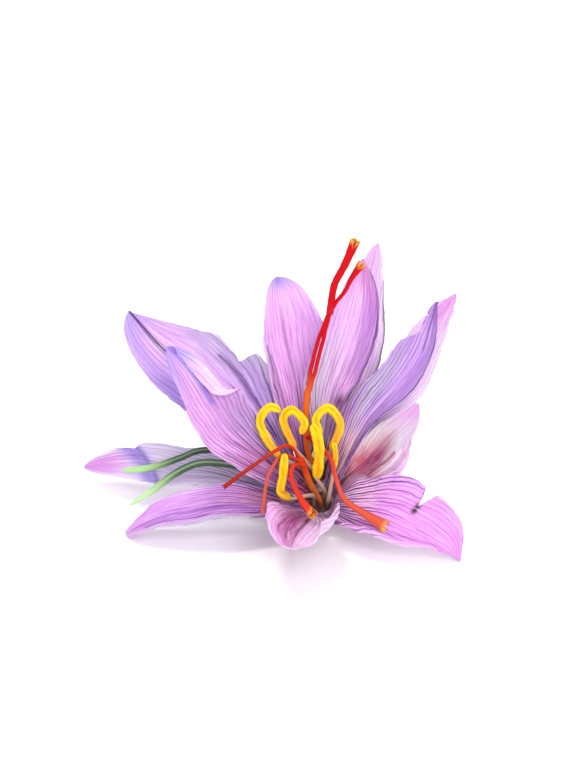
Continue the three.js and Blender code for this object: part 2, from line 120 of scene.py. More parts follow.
def unit(v: np.ndarray) -> np.ndarray:
    """Vectors of length 1 along the last axis."""
    return v / np.maximum(np.linalg.norm(v, axis=-1, keepdims=True), 1e-9)


def lerp(a: np.ndarray, b: np.ndarray, w: np.ndarray) -> np.ndarray:
    """A mix of two arrays by a weight with one axis less."""
    return a + (b - a) * w[..., None]


def at_three(values: Sequence[float], t: np.ndarray) -> np.ndarray:
    """Straight lines through three values at 0, one half and 1."""
    return np.interp(t, (0.0, 0.5, 1.0), values)


def linear(hex_colour: str) -> np.ndarray:
    """A screen colour such as "e2b2ea" as linear red, green and blue."""
    c = np.array([int(hex_colour[i:i + 2], 16) for i in (0, 2, 4)]) / 255.0
    return np.where(c <= 0.04045, c / 12.92, ((c + 0.055) / 1.055) ** 2.4)


def waves(x: np.ndarray, seed: int, count: int = 5, first: float = 1.0) -> np.ndarray:
    """A smooth irregular line between about -1 and 1.

    The sum of sines whose frequencies grow by 1.7 and whose heights shrink by 1.4, with
    phases drawn from the seed.

    Args:
        x: where to read the line.
        seed: seed of the phases.
        count: number of sines.
        first: frequency of the first sine, in turns per unit.

    Returns:
        The heights, in the shape of x.
    """
    phases = np.random.default_rng(seed).uniform(0.0, 2.0 * np.pi, count)
    total = np.zeros_like(x)
    for k in range(count):
        total = total + np.sin(2.0 * np.pi * first * 1.7 ** k * x + phases[k]) / 1.4 ** k
    return total / 2.2


AXIS = np.array([0.0, -math.sin(math.radians(BLOOM_TILT)), math.cos(math.radians(BLOOM_TILT))])
ACROSS = np.array([1.0, 0.0, 0.0])
BEHIND = np.cross(AXIS, ACROSS)
THROATS = {Bloom.REAR: np.array(REAR_THROAT), Bloom.FRONT: np.array(FRONT_THROAT)}


def radial(azimuth: float) -> np.ndarray:
    """The direction away from a bloom's axis at an angle in degrees."""
    a = math.radians(azimuth)
    return math.cos(a) * ACROSS + math.sin(a) * BEHIND


def sway(y: np.ndarray | float) -> np.ndarray:
    """How far the tubes, leaves and sheath have bent aside at a given Y."""
    return SWAY * smooth((np.asarray(y) - 14.0) / (CUT_END - 14.0))


@dataclass(frozen=True)
class SmoothPath:
    """A Catmull-Rom curve through points, read by its share of arc length."""

    points: np.ndarray

    def _raw(self, u: np.ndarray) -> np.ndarray:
        """Positions at the curve's own parameter, each stretch a cubic through four points.

        Args:
            u: the parameter, from 0 to 1 over the points in order.

        Returns:
            The positions, one row for each parameter.
        """
        p = self.points
        n = len(p) - 1
        ext = np.vstack([2 * p[0] - p[1], p, 2 * p[-1] - p[-2]])
        x = np.clip(u, 0, 1) * n
        i = np.minimum(x.astype(int), n - 1)
        w = (x - i)[:, None]
        p0, p1, p2, p3 = ext[i], ext[i + 1], ext[i + 2], ext[i + 3]
        v0, v1 = (p2 - p0) / 2, (p3 - p1) / 2
        return (2 * p1 - 2 * p2 + v0 + v1) * w ** 3 + (3 * p2 - 3 * p1 - 2 * v0 - v1) * w ** 2 + v0 * w + p1

    def read(self, t: np.ndarray) -> tuple[np.ndarray, np.ndarray]:
        """Positions and tangents at shares of the arc length.

        Args:
            t: shares from 0 to 1.

        Returns:
            Positions and unit tangents, each of shape (len(t), 3).
        """
        u = np.linspace(0, 1, 801)
        line = self._raw(u)
        lengths = np.r_[0.0, np.cumsum(np.linalg.norm(np.diff(line, axis=0), axis=1))]
        found = np.interp(np.asarray(t) * lengths[-1], lengths, u)
        step = 1e-4
        tangent = self._raw(np.clip(found + step, 0, 1)) - self._raw(np.clip(found - step, 0, 1))
        return self._raw(found), unit(tangent)

    def length(self) -> float:
        """The arc length in millimetres."""
        return float(np.linalg.norm(np.diff(self._raw(np.linspace(0, 1, 801)), axis=0), axis=1).sum())


# Meshes from grids

@dataclass
class GridMesh:
    """Collects grids of points and turns them into one mesh with colours and a map."""

    origin: np.ndarray
    points: list[np.ndarray] = field(default_factory=list)
    maps: list[np.ndarray] = field(default_factory=list)
    tones: list[np.ndarray] = field(default_factory=list)
    marks: list[np.ndarray] = field(default_factory=list)
    quads: list[np.ndarray] = field(default_factory=list)
    tris: list[np.ndarray] = field(default_factory=list)
    count: int = 0

    def add_points(self, grid: np.ndarray, uv: np.ndarray, tone: np.ndarray, mark: np.ndarray) -> int:
        """Adds points in any shape.

        Args:
            grid: the points.
            uv: their map, or one that spreads to it.
            tone: their colours, or one that spreads to them.
            mark: how strongly they are marked.

        Returns:
            The number of the first point.
        """
        start = self.count
        flat = grid.reshape(-1, 3)
        self.points.append(flat)
        self.maps.append(np.broadcast_to(uv, grid.shape[:-1] + (2,)).reshape(-1, 2))
        self.tones.append(np.broadcast_to(tone, grid.shape[:-1] + (3,)).reshape(-1, 3))
        self.marks.append(np.broadcast_to(mark, grid.shape[:-1]).reshape(-1))
        self.count += len(flat)
        return start

    def add_quads(self, index: np.ndarray, wrap: bool = False, flip: bool = False) -> None:
        """Joins a grid of point numbers into quads.

        Args:
            index: point numbers, rows by columns.
            wrap: whether the last column joins the first.
            flip: whether the faces turn over.
        """
        if wrap:
            index = np.concatenate([index, index[:, :1]], axis=1)
        a, b, c, d = index[:-1, :-1], index[:-1, 1:], index[1:, 1:], index[1:, :-1]
        order = (a, d, c, b) if flip else (a, b, c, d)
        self.quads.append(np.stack(order, -1).reshape(-1, 4))

    def add_fan(self, ring: np.ndarray, centre: int, flip: bool = False) -> None:
        """Closes a ring of point numbers with triangles to a centre point.

        Args:
            ring: the ring's point numbers.
            centre: the number of the centre point.
            flip: whether the triangles face the other way.
        """
        following = np.roll(ring, -1)
        middle = np.full_like(ring, centre)
        order = (ring, following, middle) if flip else (ring, middle, following)
        self.tris.append(np.stack(order, -1))

    def build(self, name: str) -> bpy.types.Object:
        """Makes the mesh object, at the origin, with smooth faces.

        Args:
            name: name of the solid that the object stands for.

        Returns:
            The object, linked to the scene.
        """
        co = (np.concatenate(self.points) + self.origin) * MM
        quads = np.concatenate(self.quads) if self.quads else np.zeros((0, 4), int)
        tris = np.concatenate(self.tris) if self.tris else np.zeros((0, 3), int)
        loops = np.concatenate([quads.ravel(), tris.ravel()]).astype(np.int32)
        sizes = np.concatenate([np.full(len(quads), 4), np.full(len(tris), 3)])
        starts = np.concatenate([[0], np.cumsum(sizes)[:-1]]).astype(np.int32)
        mesh = bpy.data.meshes.new(name + DRESSED)
        mesh.vertices.add(len(co))
        mesh.vertices.foreach_set("co", co.astype(np.float32).ravel())
        mesh.loops.add(len(loops))
        mesh.loops.foreach_set("vertex_index", loops)
        mesh.polygons.add(len(sizes))
        mesh.polygons.foreach_set("loop_start", starts)
        mesh.update(calc_edges=True)
        mesh.polygons.foreach_set("use_smooth", np.ones(len(sizes), bool))
        uv = mesh.uv_layers.new(name="veins")
        uv.data.foreach_set("uv", np.concatenate(self.maps)[loops].astype(np.float32).ravel())
        tone = mesh.color_attributes.new("tone", "FLOAT_COLOR", "POINT")
        rgba = np.concatenate([np.concatenate(self.tones), np.ones((self.count, 1))], axis=1)
        tone.data.foreach_set("color", rgba.astype(np.float32).ravel())
        mark = mesh.attributes.new("mark", "FLOAT", "POINT")
        mark.data.foreach_set("value", np.concatenate(self.marks).astype(np.float32))
        mesh.validate()
        made = bpy.data.objects.new(name + DRESSED, mesh)
        bpy.context.scene.collection.objects.link(made)
        return made


def surface_normals(grid: np.ndarray) -> np.ndarray:
    """Unit normals of a grid: the cross product of its steps along and across."""
    return unit(np.cross(np.gradient(grid, axis=0), np.gradient(grid, axis=1)))


# Finishes

class NodeDesk:
    """Lays out the nodes of one material in a few words each."""

    def __init__(self, name: str) -> None:
        """Starts a material with an output and a principled shader.

        Args:
            name: the material's name.
        """
        self.material = bpy.data.materials.new(name)
        self.material.use_nodes = True
        self.tree = self.material.node_tree
        self.tree.nodes.clear()
        self.output = self.tree.nodes.new("ShaderNodeOutputMaterial")
        self.shader = self.tree.nodes.new("ShaderNodeBsdfPrincipled")
        self.tree.links.new(self.shader.outputs[0], self.output.inputs["Surface"])

    def put(self, socket: bpy.types.NodeSocket, value: object) -> None:
        """Sets a socket to a number or colour, or links it to another socket.

        Args:
            socket: the socket to set.
            value: a number, a colour or another socket.
        """
        if isinstance(value, bpy.types.NodeSocket):
            self.tree.links.new(value, socket)
        else:
            socket.default_value = value

    def attribute(self, name: str, output: str = "Color") -> bpy.types.NodeSocket:
        """Reads an attribute of the mesh.

        Args:
            name: the attribute's name.
            output: which of its outputs is used.

        Returns:
            The attribute's socket.
        """
        node = self.tree.nodes.new("ShaderNodeAttribute")
        node.attribute_name = name
        return node.outputs[output]

    def uv(self) -> bpy.types.NodeSocket:
        """The piece's own map: across the veins, and along them.

        Returns:
            The map's socket.
        """
        node = self.tree.nodes.new("ShaderNodeUVMap")
        node.uv_map = "veins"
        return node.outputs[0]

    def object_coords(self) -> bpy.types.NodeSocket:
        """Positions in metres in the part's frame."""
        return self.tree.nodes.new("ShaderNodeTexCoord").outputs["Object"]

    def scaled(self, vector: bpy.types.NodeSocket, scale: Point) -> bpy.types.NodeSocket:
        """A vector stretched along each axis.

        Args:
            vector: the vector's socket.
            scale: the stretch along each axis.

        Returns:
            The stretched vector's socket.
        """
        node = self.tree.nodes.new("ShaderNodeMapping")
        self.put(node.inputs["Vector"], vector)
        node.inputs["Scale"].default_value = scale
        return node.outputs[0]

    def split(self, vector: bpy.types.NodeSocket) -> list[bpy.types.NodeSocket]:
        """The three parts of a vector.

        Args:
            vector: the vector's socket.

        Returns:
            A socket for each part.
        """
        node = self.tree.nodes.new("ShaderNodeSeparateXYZ")
        self.put(node.inputs[0], vector)
        return list(node.outputs)

    def math(self, operation: str, a: object, b: object = 0.0) -> bpy.types.NodeSocket:
        """One arithmetic step.

        Args:
            operation: the step's name.
            a: the first number or socket.
            b: the second number or socket.

        Returns:
            The result's socket.
        """
        node = self.tree.nodes.new("ShaderNodeMath")
        node.operation = operation
        self.put(node.inputs[0], a)
        self.put(node.inputs[1], b)
        return node.outputs[0]

    def noise(self, vector: bpy.types.NodeSocket, scale: float,
              detail: float = 3.0) -> bpy.types.NodeSocket:
        """Soft noise from 0 to 1.

        Args:
            vector: the place that it is read at.
            scale: how close its lumps lie.
            detail: how many finer layers it has.

        Returns:
            The noise's socket.
        """
        node = self.tree.nodes.new("ShaderNodeTexNoise")
        self.put(node.inputs["Vector"], vector)
        node.inputs["Scale"].default_value = scale
        node.inputs["Detail"].default_value = detail
        return node.outputs["Fac"]

    def ease(self, value: bpy.types.NodeSocket, low: object, high: object,
             to_low: object = 0.0, to_high: object = 1.0) -> bpy.types.NodeSocket:
        """A smooth step between two values.

        Args:
            value: what is eased.
            low: where the step starts.
            high: where the step ends.
            to_low: the value at its start.
            to_high: the value at its end.

        Returns:
            The eased value's socket.
        """
        node = self.tree.nodes.new("ShaderNodeMapRange")
        node.interpolation_type = "SMOOTHSTEP"
        for name, number in zip(("Value", "From Min", "From Max", "To Min", "To Max"),
                                (value, low, high, to_low, to_high)):
            self.put(node.inputs[name], number)
        return node.outputs["Result"]

    def mix(self, weight: object, a: object, b: object, blend: str = "MIX") -> bpy.types.NodeSocket:
        """A mix of two colours.

        Args:
            weight: the share of the second colour.
            a: the first colour.
            b: the second colour.
            blend: the way they are mixed.

        Returns:
            The mixed colour's socket.
        """
        node = self.tree.nodes.new("ShaderNodeMix")
        node.data_type = "RGBA"
        node.blend_type = blend
        node.clamp_factor = True
        self.put(node.inputs[0], weight)
        for socket, value in ((node.inputs[6], a), (node.inputs[7], b)):
            self.put(socket, value if isinstance(value, bpy.types.NodeSocket) else (*value, 1.0))
        return node.outputs[2]

    def bump(self, height: bpy.types.NodeSocket, distance: float, strength: float) -> None:
        """Lets a height in millimetres roughen the shading.

        Args:
            height: the height's socket.
            distance: what a height of 1 stands for, in millimetres.
            strength: how strongly it shows.
        """
        node = self.tree.nodes.new("ShaderNodeBump")
        node.inputs["Strength"].default_value = strength
        node.inputs["Distance"].default_value = distance * MM
        self.put(node.inputs["Height"], height)
        self.put(self.shader.inputs["Normal"], node.outputs[0])

    def glow_through(self, colour: bpy.types.NodeSocket, share: float) -> None:
        """Adds light that passes through the thin piece.

        Args:
            colour: the light's colour.
            share: the share of light that passes.
        """
        through = self.tree.nodes.new("ShaderNodeBsdfTranslucent")
        self.put(through.inputs["Color"], colour)
        blend = self.tree.nodes.new("ShaderNodeMixShader")
        blend.inputs[0].default_value = share
        self.tree.links.new(self.shader.outputs[0], blend.inputs[1])
        self.tree.links.new(through.outputs[0], blend.inputs[2])
        self.tree.links.new(blend.outputs[0], self.output.inputs["Surface"])


@dataclass(frozen=True)
class PetalFinish:
    """Silky tepal skin: painted tones, fine veins that fan out, streaks that are partly painted light and
    shade, and light shining through.
    """

    veins: float = 13.0
    roughness: float = 0.45
    through: float = 0.25

    def make(self) -> bpy.types.Material:
        """Lines lie where the map's first number times the vein count is whole.

        Returns:
            The material.
        """
        desk = NodeDesk("petal_skin")
        tone = desk.attribute("tone")
        strength = desk.attribute("mark", "Fac")
        across, along, _ = desk.split(desk.uv())
        drift = desk.noise(desk.scaled(desk.uv(), (3.0, 0.5, 1.0)), 2.0, 2.0)
        tremble = desk.noise(desk.scaled(desk.uv(), (10.0, 3.0, 1.0)), 2.0, 2.0)
        strayed = desk.math("MULTIPLY", drift, 1.5)
        line = desk.math("ADD", desk.math("MULTIPLY", across, self.veins), strayed)
        line = desk.math("ADD", line, desk.math("MULTIPLY", tremble, 0.22))
        near = desk.math("PINGPONG", line, 0.5)
        width = desk.ease(along, 0.0, 2.4, 0.36, 0.16)
        main = desk.ease(near, 0.05, width, 1.0, 0.0)
        reach = desk.noise(desk.scaled(desk.uv(), (8.0, 0.1, 1.0)), 2.0, 2.0)
        stop = desk.math("SUBTRACT", desk.math("MULTIPLY", reach, 6.4), 1.5)
        fading = desk.ease(along, desk.math("SUBTRACT", stop, 1.3), stop, 1.0, 0.4)
        main = desk.math("MULTIPLY", main, fading)
        fine_near = desk.math("PINGPONG", desk.math("MULTIPLY", line, 3.0), 0.5)
        fine = desk.ease(fine_near, 0.0, 0.26, 1.0, 0.0)
        breaks = desk.ease(desk.noise(desk.scaled(desk.uv(), (30.0, 2.2, 1.0)), 2.0, 2.0), 0.4, 0.6)
        faint = desk.math("MULTIPLY", fine, desk.math("MULTIPLY", breaks, 0.42))
        lines = desk.math("MAXIMUM", main, faint)
        amount = desk.math("MULTIPLY", lines, strength)
        skin = desk.mix(amount, tone, desk.mix(1.0, tone, tuple(linear("702088")), "MULTIPLY"))
        # Lengthwise streaks, lighter and darker: partly the skin's own streaks and partly painted patchy
        # light and shade.
        streak = desk.noise(desk.scaled(desk.uv(), (16.0, 0.9, 1.0)), 2.0, 4.0)
        skin = desk.mix(desk.ease(streak, 0.52, 0.75, 0.0, 0.45), skin, tuple(linear("fdf0fe")))
        skin = desk.mix(desk.ease(streak, 0.48, 0.25, 0.0, 0.5), skin,
                        desk.mix(1.0, skin, tuple(linear("d29be0")), "MULTIPLY"))
        grain = desk.noise(desk.scaled(desk.uv(), (90.0, 14.0, 1.0)), 4.0, 4.0)
        desk.put(desk.shader.inputs["Base Color"], skin)
        desk.shader.inputs["Roughness"].default_value = self.roughness
        desk.shader.inputs["Specular IOR Level"].default_value = 0.3
        desk.shader.inputs["Sheen Weight"].default_value = 0.1
        height = desk.math("ADD", desk.math("MULTIPLY", lines, -0.9), desk.math("MULTIPLY", grain, 0.5))
        height = desk.math("ADD", height, desk.math("MULTIPLY", streak, 1.2))
        desk.bump(height, 0.09, 0.7)
        desk.glow_through(skin, self.through)
        return desk.material


@dataclass(frozen=True)
class SkinFinish:
    """Smooth plant skin that takes its painted tones, with lengthwise streaks."""

    name: str
    streak: str
    streaks: float
    amount: float
    roughness: float
    relief: float
    through: float = 0.0
    grain: float = 0.0
    shine: float = 0.4

    def make(self) -> bpy.types.Material:
        """Streaks are noise stretched along the piece's own map.

        Returns:
            The material.
        """
        desk = NodeDesk(self.name)
        tone = desk.attribute("tone")
        stretched = desk.scaled(desk.uv(), (self.streaks, self.streaks / 14.0, 1.0))
        streak = desk.noise(stretched, 2.0, 4.0)
        skin = desk.mix(desk.ease(streak, 0.42, 0.72, 0.0, self.amount), tone, tuple(linear(self.streak)))
        desk.put(desk.shader.inputs["Base Color"], skin)
        desk.shader.inputs["Roughness"].default_value = self.roughness
        desk.shader.inputs["Specular IOR Level"].default_value = self.shine
        height = streak
        if self.grain:
            fine = desk.noise(desk.object_coords(), self.grain, 2.0)
            height = desk.math("ADD", desk.math("MULTIPLY", streak, 0.5), fine)
        desk.bump(height, self.relief, 0.6)
        if self.through:
            desk.glow_through(skin, self.through)
        return desk.material


@dataclass(frozen=True)
class PollenFinish:
    """Anthers dusted with pollen: a warm yellow wall under bright loose grains."""

    grain: float = 5200.0

    def make(self) -> bpy.types.Material:
        """Grains are the cells of a Voronoi pattern, brighter at their middles.

        Returns:
            The material.
        """
        desk = NodeDesk("pollen")
        tone = desk.attribute("tone")
        cells = desk.tree.nodes.new("ShaderNodeTexVoronoi")
        desk.put(cells.inputs["Vector"], desk.object_coords())
        cells.inputs["Scale"].default_value = self.grain
        near = desk.ease(cells.outputs["Distance"], 0.1, 0.6, 1.0, 0.0)
        patchy = desk.ease(desk.noise(desk.object_coords(), 900.0, 3.0), 0.35, 0.65)
        skin = desk.mix(desk.math("MULTIPLY", near, desk.math("MULTIPLY", patchy, 0.75)), tone,
                        tuple(linear("ffe24a")))
        desk.put(desk.shader.inputs["Base Color"], skin)
        desk.shader.inputs["Roughness"].default_value = 0.75
        desk.shader.inputs["Specular IOR Level"].default_value = 0.2
        desk.bump(near, 0.09, 0.8)
        return desk.material


# Tepals

@dataclass(frozen=True)
class Half:
    """One half of a blade's outline: how wide, where widest, how full its tip, how slender its claw."""

    widest: float
    where: float
    fullness: float
    slender: float = 1.4

    def width(self, t: np.ndarray) -> np.ndarray:
        """A quarter sine to a power up from the claw, then (1 - x squared) to a power down to the tip.

        Args:
            t: places along the blade.

        Returns:
            The half width at each place.
        """
        claw = CLAW / self.widest
        up = claw + (1 - claw) * np.sin(np.pi / 2 * np.minimum(t / self.where, 1)) ** self.slender
        beyond = np.clip((t - self.where) / (1 - self.where), 0, 1)
        return self.widest * np.where(t < self.where, up, np.maximum(1 - beyond ** 2, 0) ** self.fullness)


@dataclass(frozen=True)
class Notch:
    """A tear in a margin: its side, deepest place, reach towards root and tip, and depth."""

    side: int
    at: float
    before: float
    after: float
    depth: float

    def cut(self, t: np.ndarray) -> np.ndarray:
        """Where the torn margin lies, from 1 down to 1 minus the depth and up again."""
        away = np.where(t < self.at, (self.at - t) / self.before, (t - self.at) / self.after)
        return 1 - self.depth * np.maximum(0, 1 - away)


@dataclass(frozen=True)
class Curl:
    """A stretch of margin that rolls over: side, from and to along the blade, inset and turn.

    The turn is reached over a share, the bend, of the strip outside the inset.
    """

    side: int
    start: float
    end: float
    inset: float
    turn: float
    ease: float = 0.14
    bend: float = 1.0


@dataclass(frozen=True)
class Crease:
    """A fold along a line between two places (t, s) of a blade, raised or sunk by a height, and painted
    towards its colour by its shade: painted shade in the fold, and in places the blade's own dark lines.
    """

    start: tuple[float, float]
    end: tuple[float, float]
    reach: float
    height: float
    shade: float = 0.0
    colour: str = "7a4a9c"

    def nearness(self, tt: np.ndarray, ss: np.ndarray) -> np.ndarray:
        """The bell curve of the distance from the line, with t counted three times as long as s.

        Args:
            tt: places along the blade.
            ss: places across the blade.

        Returns:
            1 on the line, down to 0 away from it.
        """
        a = np.array([3 * self.start[0], self.start[1]])
        b = np.array([3 * self.end[0], self.end[1]])
        x, y = 3 * tt - a[0], ss - a[1]
        along = b - a
        share = np.clip((x * along[0] + y * along[1]) / (along @ along), 0, 1)
        away = np.hypot(x - share * along[0], y - share * along[1])
        return np.exp(-(away / self.reach) ** 2)


@dataclass(frozen=True)
class Patch:
    """A soft patch of colour: its middle and reach along (t) and across (s) the blade."""

    t: float
    s: float
    reach_t: float
    reach_s: float
    colour: str
    strength: float
    side: Side = Side.BOTH


@dataclass(frozen=True)
class Tint:
    """The tones of a tepal from its throat to its tip."""

    throat: str = "8e4a78"
    low: str = "b57fc0"
    body: str = "deb0e8"
    margin: str = "ecc6f3"
    tip: str = "cda4e4"
    back: str = "d9c2ea"
    veins: float = 0.85
    throat_reach: float = 0.2


@dataclass(frozen=True)
class Tepal:
    """One blade of a bloom, laid along a path from its throat.

    A place on it is a pair (t, s): t runs from 0 at the throat to 1 at the tip, and s from -1
    at the margin of its left half to 1 at the margin of its right half.
    """

    name: str
    bloom: Bloom
    azimuth: float
    flare: float
    path: tuple[Point, ...]
    left: Half
    right: Half
    face: tuple[Point, Point, Point] = (TOWARDS_VIEWER,) * 3
    cup: Point = (24.0, 25.0, 20.0)
    keel: Point = (0.0, 0.0, 0.0)
    wave: float = 0.3
    outer: bool = False
    notches: tuple[Notch, ...] = ()
    curls: tuple[Curl, ...] = ()
    creases: tuple[Crease, ...] = ()
    tint: Tint = Tint()
    patches: tuple[Patch, ...] = ()
    ragged: float = 0.03
    crimp: float = 0.12
    seed: int = 1
    rows: int = 150
    half_columns: int = 34
    thickness: float = 0.3

    def spine(self) -> tuple[SmoothPath, np.ndarray]:
        """The blade's spine, from inside the throat's wall to the tip.

        Returns:
            The path, and the outward direction.
        """
        radius, lift = OUTER_RING if self.outer else INNER_RING
        out = radial(self.azimuth)
        base = THROATS[self.bloom] + radius * out + lift * AXIS
        along = math.cos(math.radians(self.flare)) * AXIS + math.sin(math.radians(self.flare)) * out
        sunk = base - (0.9 * out if self.outer else 0.5 * AXIS)
        return SmoothPath(np.vstack([sunk, base + ROOT_LENGTH * along, np.array(self.path)])), out

    def facing(self, out: np.ndarray, t: np.ndarray) -> np.ndarray:
        """Where the inner face looks: at the axis in the throat, then the three given ways."""
        looks = np.vstack([-out, np.array(self.face)])
        return np.stack([np.interp(t, (0, 0.25, 0.625, 1), looks[:, k]) for k in range(3)], -1)

    def places(self, side: int, t: np.ndarray, u: np.ndarray) -> np.ndarray:
        """Shares from the midrib to the margin, held back where the margin is torn.

        Beyond a cut line, 1 minus the tear's depth times the nearness to its middle, the
        shares are squeezed to a twentieth, so the veins run straight on into the tear.

        Args:
            side: -1 or 1.
            t: shares along the blade.
            u: shares from the midrib to the margin, evenly spaced from 0.

        Returns:
            The shares, of shape (len(t), len(u)).
        """
        cut = np.ones_like(t)
        for notch in self.notches:
            if notch.side == side:
                cut = np.minimum(cut, notch.cut(t))
        shares = np.broadcast_to(u, (len(t), len(u)))
        return np.where(shares < cut[:, None], shares, cut[:, None] + 0.05 * (shares - cut[:, None]))

    def half_sheet(self, side: int, t: np.ndarray, u: np.ndarray) -> tuple[np.ndarray, np.ndarray]:
        """One half's cross sections, as distances sideways and along the normal.

        The section turns by keel degrees just off the midrib, then by cup degrees steadily
        out to the margin, and by each curl near the margin. Its points are the running sums
        of the turned steps, times the half width.

        Args:
            side: -1 or 1.
            t: shares along the blade.
            u: shares from the midrib to the margin, of shape (len(t), columns).

        Returns:
            Sideways and normal distances, in the shape of u.
        """
        half = self.left if side < 0 else self.right
        rough = waves(t, self.seed + 10 * side + 40, 6, 3.0)
        width = np.maximum(half.width(t) * (1 + self.ragged * rough * smooth(t / 0.3)), 0.12)[:, None]
        turn = np.radians(at_three(self.keel, t))[:, None] * smooth(u / 0.15)
        turn = turn + np.radians(at_three(self.cup, t))[:, None] * u
        for curl in self.curls:
            if curl.side == side:
                window = smooth((t - curl.start) / curl.ease) * smooth((curl.end - t) / curl.ease)
                bend = smooth((u - curl.inset) / (curl.bend * (1 - curl.inset)))
                turn = turn + math.radians(curl.turn) * window[:, None] * bend
        step = np.diff(u, axis=1)
        start = np.zeros((len(t), 1))
        run = (np.cos(turn[:, 1:]) + np.cos(turn[:, :-1])) / 2 * step
        rise = (np.sin(turn[:, 1:]) + np.sin(turn[:, :-1])) / 2 * step
        across = np.hstack([start, np.cumsum(run, axis=1)])
        above = np.hstack([start, np.cumsum(rise, axis=1)])
        ripple = self.wave * u ** 2 * np.sin(5 * np.pi * t + (1.0 if side < 0 else 2.6))[:, None]
        fine = self.crimp * u ** 3 * waves(t, self.seed + side + 7, 5, 4.0)[:, None]
        lift = (ripple + fine) * smooth(t / 0.3)[:, None] * np.minimum(1, width / 3)
        return across * width, above * width + lift

    def vein_map(self, tt: np.ndarray, ss: np.ndarray) -> np.ndarray:
        """The vein number of each place: s over a spread that grows along the blade."""
        return ss / (0.55 + 0.62 * tt ** 1.3)

    def sheet(self) -> tuple[np.ndarray, np.ndarray, np.ndarray]:
        """The middle surface of the blade.

        Returns:
            The grid of points, and the places along (0 to 1) and across (-1 to 1) it.
        """
        t = 1 - (1 - np.linspace(0, 1, self.rows + 1)) ** 1.35
        u = np.linspace(0, 1, self.half_columns + 1)
        path, out = self.spine()
        centre, tangent = path.read(t)
        look = self.facing(out, t)
        normal = unit(look - (look * tangent).sum(-1, keepdims=True) * tangent)
        side = np.cross(tangent, normal)
        halves, places = [], []
        for sign in (-1, 1):
            shares = self.places(sign, t, u)
            across, above = self.half_sheet(sign, t, shares)
            halves.append(centre[:, None] + sign * side[:, None] * across[..., None]
                          + normal[:, None] * above[..., None])
            places.append(sign * shares)
        grid = np.concatenate([halves[0][:, :0:-1], halves[1]], axis=1)
        ss = np.concatenate([places[0][:, :0:-1], places[1]], axis=1)
        tt = np.broadcast_to(t[:, None], ss.shape)
        ends = smooth(tt / 0.12) * smooth((1 - tt) / 0.1)
        pleat = 0.05 * np.cos(2 * np.pi * 6.5 * self.vein_map(tt, ss)) * ends
        midrib = 0.16 * np.exp(-(ss / 0.05) ** 2) * (1 - tt) * smooth(tt / 0.1)
        lift = pleat + midrib
        for crease in self.creases:
            lift = lift + crease.height * crease.nearness(tt, ss)
        return grid + surface_normals(grid) * lift[..., None], tt, ss

    def tones(self, tt: np.ndarray, ss: np.ndarray, side: Side) -> np.ndarray:
        """The painted colours of one face, throat to low to body to tip, with margin, patches and painted
        shade along the creases.

        Args:
            tt: places along the blade.
            ss: places across the blade.
            side: the face.

        Returns:
            A colour for each place.
        """
        tint = self.tint
        wander = 0.06 * np.sin(3 * ss + 9 * tt + self.seed) + 0.04 * np.sin(11 * ss - 5 * tt)
        body = linear(tint.body if side is Side.INNER else tint.back)
        low = np.broadcast_to(linear(tint.low), tt.shape + (3,))
        tone = lerp(low, body, smooth((tt + wander - 0.12) / 0.38))
        tone = lerp(tone, linear(tint.throat), 1 - smooth((tt + wander * 0.5) / tint.throat_reach))
        outside = smooth((np.abs(ss) + wander - 0.55) / 0.45)
        tone = lerp(tone, linear(tint.margin), 0.8 * outside * smooth(tt / 0.4))
        tone = lerp(tone, linear(tint.tip), 0.75 * smooth((tt + wander - 0.78) / 0.2))
        for patch in self.patches:
            if patch.side in (Side.BOTH, side):
                reach = ((tt - patch.t) / patch.reach_t) ** 2 + ((ss - patch.s) / patch.reach_s) ** 2
                tone = lerp(tone, linear(patch.colour), patch.strength * np.exp(-reach))
        # Painted shade along each crease, darkening the tone towards the crease's colour.
        for crease in self.creases:
            tone = lerp(tone, linear(crease.colour), crease.shade * crease.nearness(tt, ss))
        return tone

    def make(self, origin: np.ndarray) -> bpy.types.Object:
        """The thin closed blade: the middle surface moved half the thickness both ways.

        Args:
            origin: shift to the part's origin.

        Returns:
            The mesh object.
        """
        grid, tt, ss = self.sheet()
        normals = surface_normals(grid)
        edge = 1 - 0.75 * np.abs(ss) ** 10
        half = self.thickness / 2 * (1.7 - 0.7 * smooth(tt / 0.3)) * edge
        uv = np.stack([self.vein_map(tt, ss) * 0.5 + 0.5, tt * 3], -1)
        strength = self.tint.veins * (0.75 + 0.45 * np.exp(-tt / 0.3))
        mesh = GridMesh(origin)
        number = np.arange(tt.size).reshape(tt.shape)
        shift = normals * half[..., None]
        outer = mesh.add_points(grid + shift, uv, self.tones(tt, ss, Side.OUTER), strength * 0.8)
        inner = mesh.add_points(grid - shift, uv, self.tones(tt, ss, Side.INNER), strength)
        mesh.add_quads(number + outer, flip=True)
        mesh.add_quads(number + inner)
        rim = np.concatenate([number[0], number[1:, -1], number[-1, -2::-1], number[-2:0:-1, 0]])
        mesh.add_quads(np.stack([rim + outer, rim + inner], 0), wrap=True)
        return mesh.build(self.name)


# Rods: anthers, filaments, styles, leaves and tubes

def rod_frame(path: SmoothPath, t: np.ndarray, up: np.ndarray | None = None) -> tuple[np.ndarray, ...]:
    """Centres, sideways and upward directions along a path.

    Without an upward direction, the one in which the path's points spread least is taken, so
    that a hook or an arch keeps its section from turning.

    Args:
        path: the path.
        t: shares along it.
        up: the upward direction, if it matters.

    Returns:
        Centres, side and lift directions and tangents, each of shape (len(t), 3).
    """
    centre, tangent = path.read(t)
    if up is None:
        spread = path.points - path.points.mean(axis=0)
        up = np.linalg.svd(spread)[2][-1]
    lift = unit(up - (tangent @ up)[:, None] * tangent)
    return centre, np.cross(tangent, lift), lift, tangent


